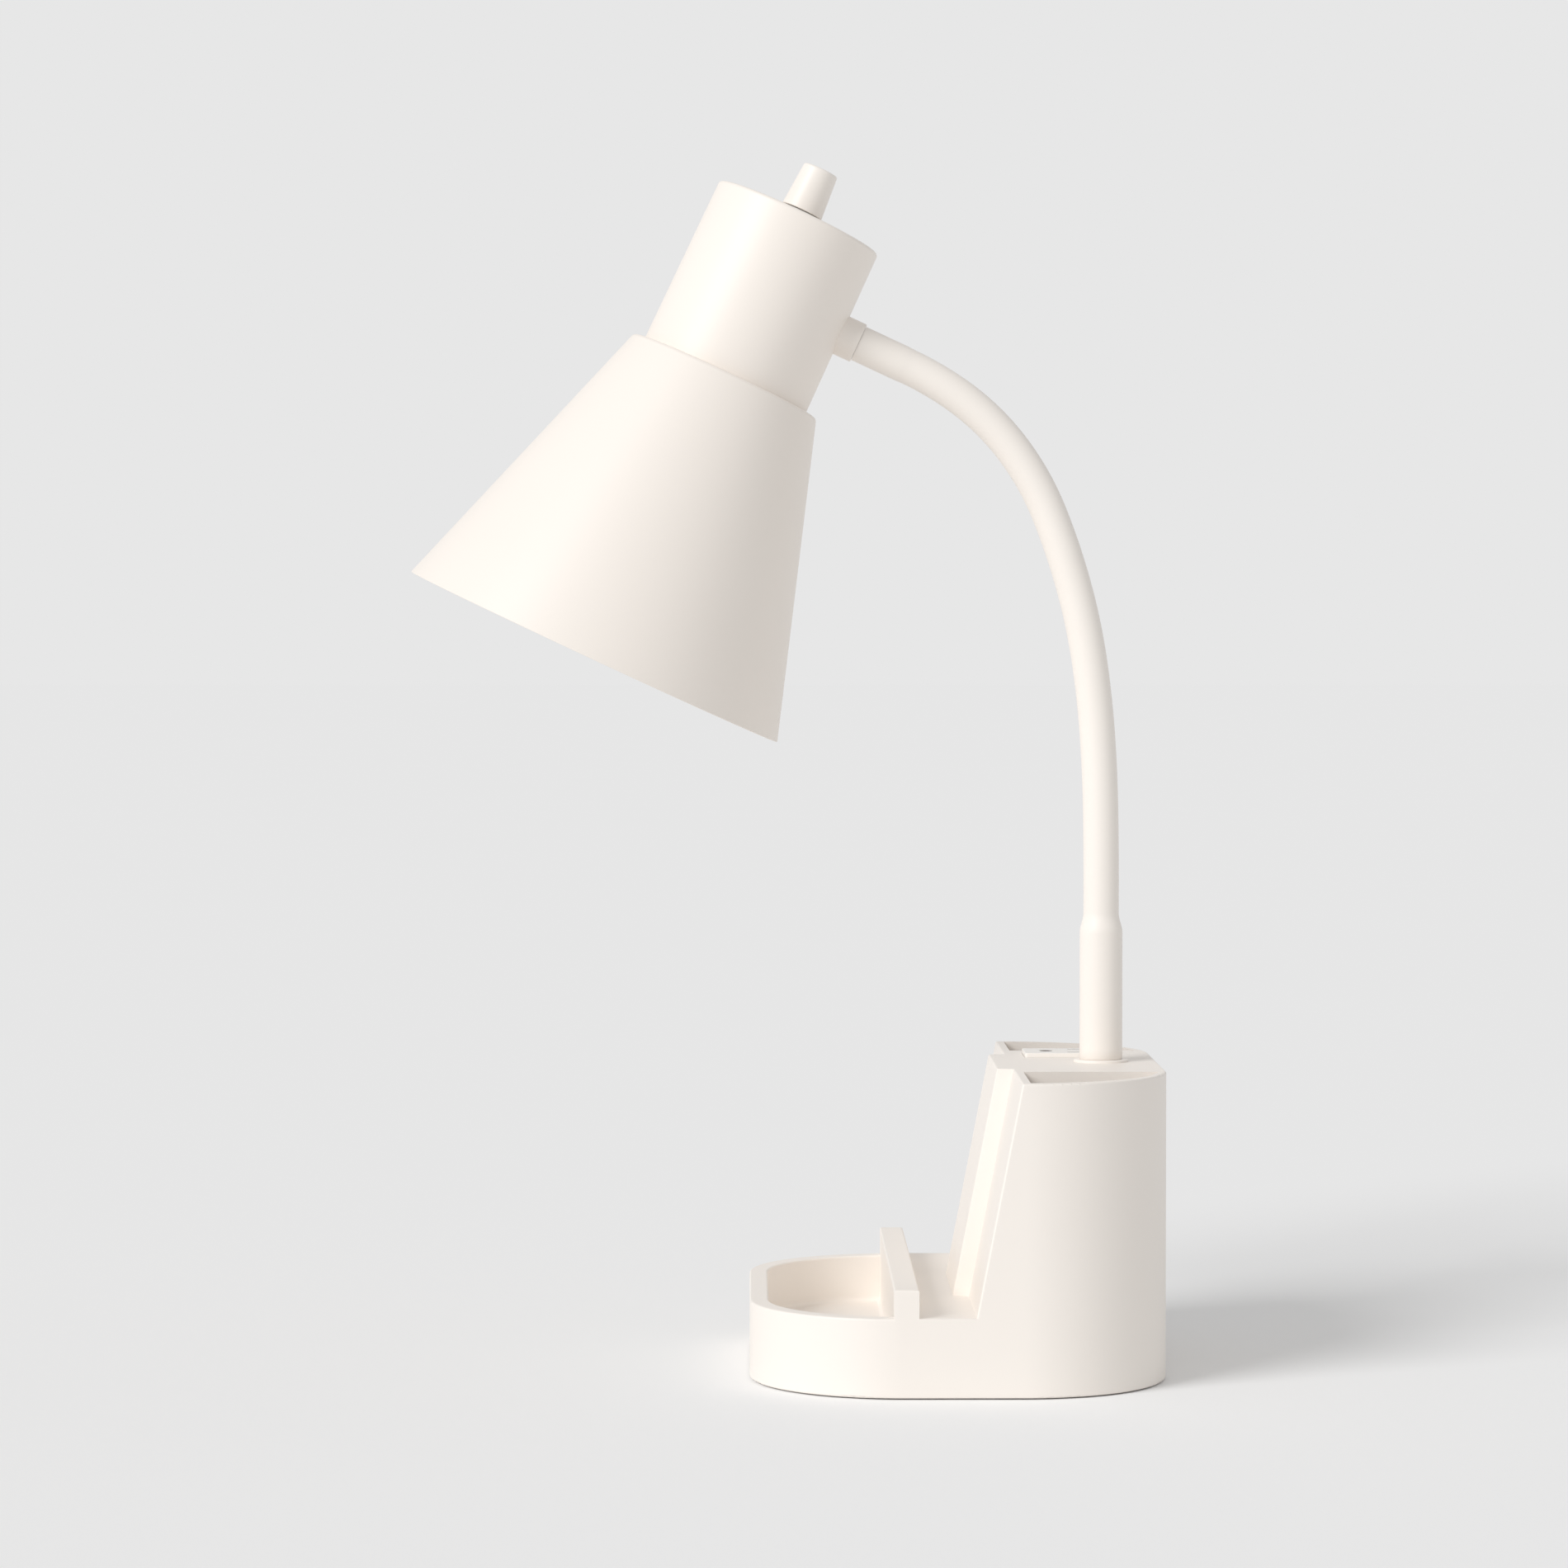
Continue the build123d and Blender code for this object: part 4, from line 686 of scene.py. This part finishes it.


# Neck skin: one smooth tube, cut at the middle of each length. Lengths are in
# millimetres along the neck

neck = {
    "foot": (0.056, 0.0, 0.180),       # the first joint, in metres
    "heading": 90.0,                   # degrees, 90 is straight up and 180 is forwards
    "turns": (1, 3, 4.5, 7, 6.5, 15.5, 17.5, 10),
    "lengths": (28.8, 28.8, 28.8, 28.8, 28.8, 28.8, 28.8, 22.0),
    "firstCut": -8.6,                  # from the first joint
    "lastCut": 14.0,                   # from the last joint
    "skin": 6.7, "bore": 5.72,
    "ferruleSkin": 8.1, "ferruleBore": 7.06, "ferruleEdge": 0.25,
    "ferruleFoot": 115.1, "ferruleTop": 163.0,    # above the desk
    "shoulder": 7.5,                   # over which the skin narrows to the conduit
    "upperSkin": 6.85, "upperBore": 5.8, "upperLength": 19.9,
    "widenBefore": 2.0, "widenRun": 5.0,
    "straightStep": 4.0, "ringStep": 1.5, "segments": 96,
    "shoulderSteps": 12, "beforeSteps": 4, "widenSteps": 8,
    "sharp": 50.0,
}


def alongNeck(n):
    # the neck's line from the first joint on, as arcs: returns place and heading at any length
    arcs = []
    place = Vector(n["foot"])
    heading = n["heading"]
    start = 0.0
    for turn, length in zip(n["turns"], n["lengths"]):
        arcs.append((start, length, place.copy(), heading, turn))
        radius = length * mm / radians(turn)
        h0, h1 = radians(heading), radians(heading + turn)
        place += Vector((sin(h1) - sin(h0), 0, cos(h0) - cos(h1))) * radius
        heading += turn
        start += length

    def at(distance):
        if distance < 0:
            return Vector(n["foot"]) + Vector((0, 0, distance * mm)), n["heading"]
        for begin, length, origin, first, turn in arcs:
            if distance <= begin + length:
                radius = length * mm / radians(turn)
                h0 = radians(first)
                h1 = radians(first + turn * (distance - begin) / length)
                step = Vector((sin(h1) - sin(h0), 0, cos(h0) - cos(h1))) * radius
                return origin + step, first + turn * (distance - begin) / length
        return place + headed(heading) * ((distance - start) * mm), heading

    return at, start


def eased(share):
    return (1 - cos(pi * share)) / 2


def skinTube(name, at, stations, n):
    # stations of (distance along the neck, outer radius, inner radius)
    turns = [2 * pi * j / n["segments"] for j in range(n["segments"])]
    rings = []
    for places, which in ((stations, 1), (stations[::-1], 2)):
        for station in places:
            place, heading = at(station[0])
            across = Vector((sin(radians(heading)), 0, -cos(radians(heading))))
            radius = station[which] * mm
            rings.append([place + (across * cos(turn) + Vector((0, 1, 0)) * sin(turn)) * radius
                          for turn in turns])
    return closedMesh(name, rings, "skin_plastic", n["sharp"])


def neckCuts(n):
    # where the neck is cut, along its line, and the bodies that its lengths join
    jointsAt = [sum(n["lengths"][:k]) for k in range(len(n["lengths"]))]
    halves = [(before + after) / 2 for before, after in zip(jointsAt, jointsAt[1:])]
    cuts = [n["firstCut"], *halves, jointsAt[-1] + n["lastCut"]]
    return cuts, ["base", *(f"neck_{k}" for k in range(1, len(jointsAt))), "head"]


def makeNeck(n):
    at, total = alongNeck(n)
    cuts, chain = neckCuts(n)

    # over the lower ferrule: straight, then a soft shoulder down to the conduit
    foot = n["ferruleFoot"] - n["foot"][2] / mm
    shoulderFoot = n["ferruleTop"] - n["foot"][2] / mm
    stations = [
        (foot, n["ferruleSkin"] - n["ferruleEdge"], n["ferruleBore"]),
        (foot + n["ferruleEdge"], n["ferruleSkin"], n["ferruleBore"]),
    ]
    for k in range(1, int((shoulderFoot - foot) / n["straightStep"]) + 1):
        stations.append((foot + n["straightStep"] * k, n["ferruleSkin"], n["ferruleBore"]))
    for k in range(n["shoulderSteps"] + 1):
        share = k / n["shoulderSteps"]
        outer = n["ferruleSkin"] - (n["ferruleSkin"] - n["skin"]) * eased(share)
        inner = n["bore"] if k else n["ferruleBore"]
        stations.append((shoulderFoot + n["shoulder"] * share, outer, inner))
    stations.append((n["firstCut"], n["skin"], n["bore"]))
    piece = skinTube("neckSkinFoot", at, stations, n)
    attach(piece, "base")
    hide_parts("neck_sleeve_0")

    # one piece over each joint
    for k, (begin, end) in enumerate(zip(cuts, cuts[1:])):
        steps = int((end - begin) / n["ringStep"])
        stations = [(begin + (end - begin) * s / steps, n["skin"], n["bore"]) for s in range(steps + 1)]
        piece = skinTube(f"neckSkin{k + 1}", at, stations, n)
        chain[k + 1]
        at(begin)[0]
        at(end)[0]
        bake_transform(piece)
        if chain[k + 1] != "head":
            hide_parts(f"neck_sleeve_{k + 1}")

    # over the upper ferrule, a little wider
    begin, end = cuts[-1], total + n["upperLength"]
    widenFrom = total - n["widenBefore"]
    widenTo = widenFrom + n["widenRun"]
    stations = []
    for s in range(n["beforeSteps"] + 1):
        stations.append((begin + (widenFrom - begin) * s / n["beforeSteps"], n["skin"], n["bore"]))
    for s in range(1, n["widenSteps"] + 1):
        share = s / n["widenSteps"]
        stations.append((widenFrom + n["widenRun"] * share,
                         n["skin"] + (n["upperSkin"] - n["skin"]) * eased(share),
                         n["bore"] + (n["upperBore"] - n["bore"]) * eased(share)))
    for s in range(1, n["widenSteps"] + 1):
        stations.append((widenTo + (end - widenTo) * s / n["widenSteps"], n["upperSkin"], n["upperBore"]))
    piece = skinTube("neckSkinTop", at, stations, n)
    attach(piece, "head")
    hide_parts("neck_sleeve_8")


makeNeck(neck)
print("neck skin made")


# Lead inside the neck: the CAD tube, cut where the skin is cut

lead = {
    "merge": 0.002,      # millimetres between points that are one
    "ringStep": 3.0,     # millimetres between the rings cut across it
}


def crossPlane(at, distance, way=1):
    # a plane square to the neck there: a point in it, and the way that it faces
    place, heading = at(distance)
    return place, headed(heading) * way


def leadPiece(name, planes, rings, l):
    # the tube beyond each plane, closed where it is cut, with more rings cut across it
    mesh = nodes["lamp_wire"].data.copy()
    mesh.name = name
    tube = bmesh.new()
    tube.from_mesh(mesh)
    bmesh.ops.remove_doubles(tube, verts=tube.verts, dist=l["merge"] * mm)

    def cutAt(place, direction, clear):
        return bmesh.ops.bisect_plane(tube, geom=[*tube.verts, *tube.edges, *tube.faces],
                                      plane_co=place, plane_no=direction, clear_inner=clear)["geom_cut"]

    for place, direction in planes:
        rim = [part for part in cutAt(place, direction, True) if isinstance(part, bmesh.types.BMEdge)]
        bmesh.ops.contextual_create(tube, geom=rim)
    for place, direction in rings:
        cutAt(place, direction, False)
    bmesh.ops.recalc_face_normals(tube, faces=tube.faces)
    tube.to_mesh(mesh)
    tube.free()
    mesh.shade_smooth()
    mesh.set_sharp_from_angle(angle=radians(rounding["sharp"]))
    piece = addObject(name, mesh)
    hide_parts("lamp_wire")
    return piece


def makeLead(n, l):
    at = alongNeck(n)[0]
    cuts, chain = neckCuts(n)
    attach(leadPiece("lampLeadFoot", [crossPlane(at, cuts[0], -1)], [], l), "base")
    for k, (begin, end) in enumerate(zip(cuts, cuts[1:])):
        steps = int((end - begin) / l["ringStep"])
        rings = [crossPlane(at, begin + (end - begin) * s / steps) for s in range(1, steps)]
        planes = [crossPlane(at, begin), crossPlane(at, end, -1)]
        piece = leadPiece(f"lampLead{k + 1}", planes, rings, l)
        chain[k + 1]
        at(begin)[0]
        at(end)[0]
        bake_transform(piece)
    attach(leadPiece("lampLeadTop", [crossPlane(at, cuts[-1])], [], l), "head")


makeLead(neck, lead)
print("lead made")
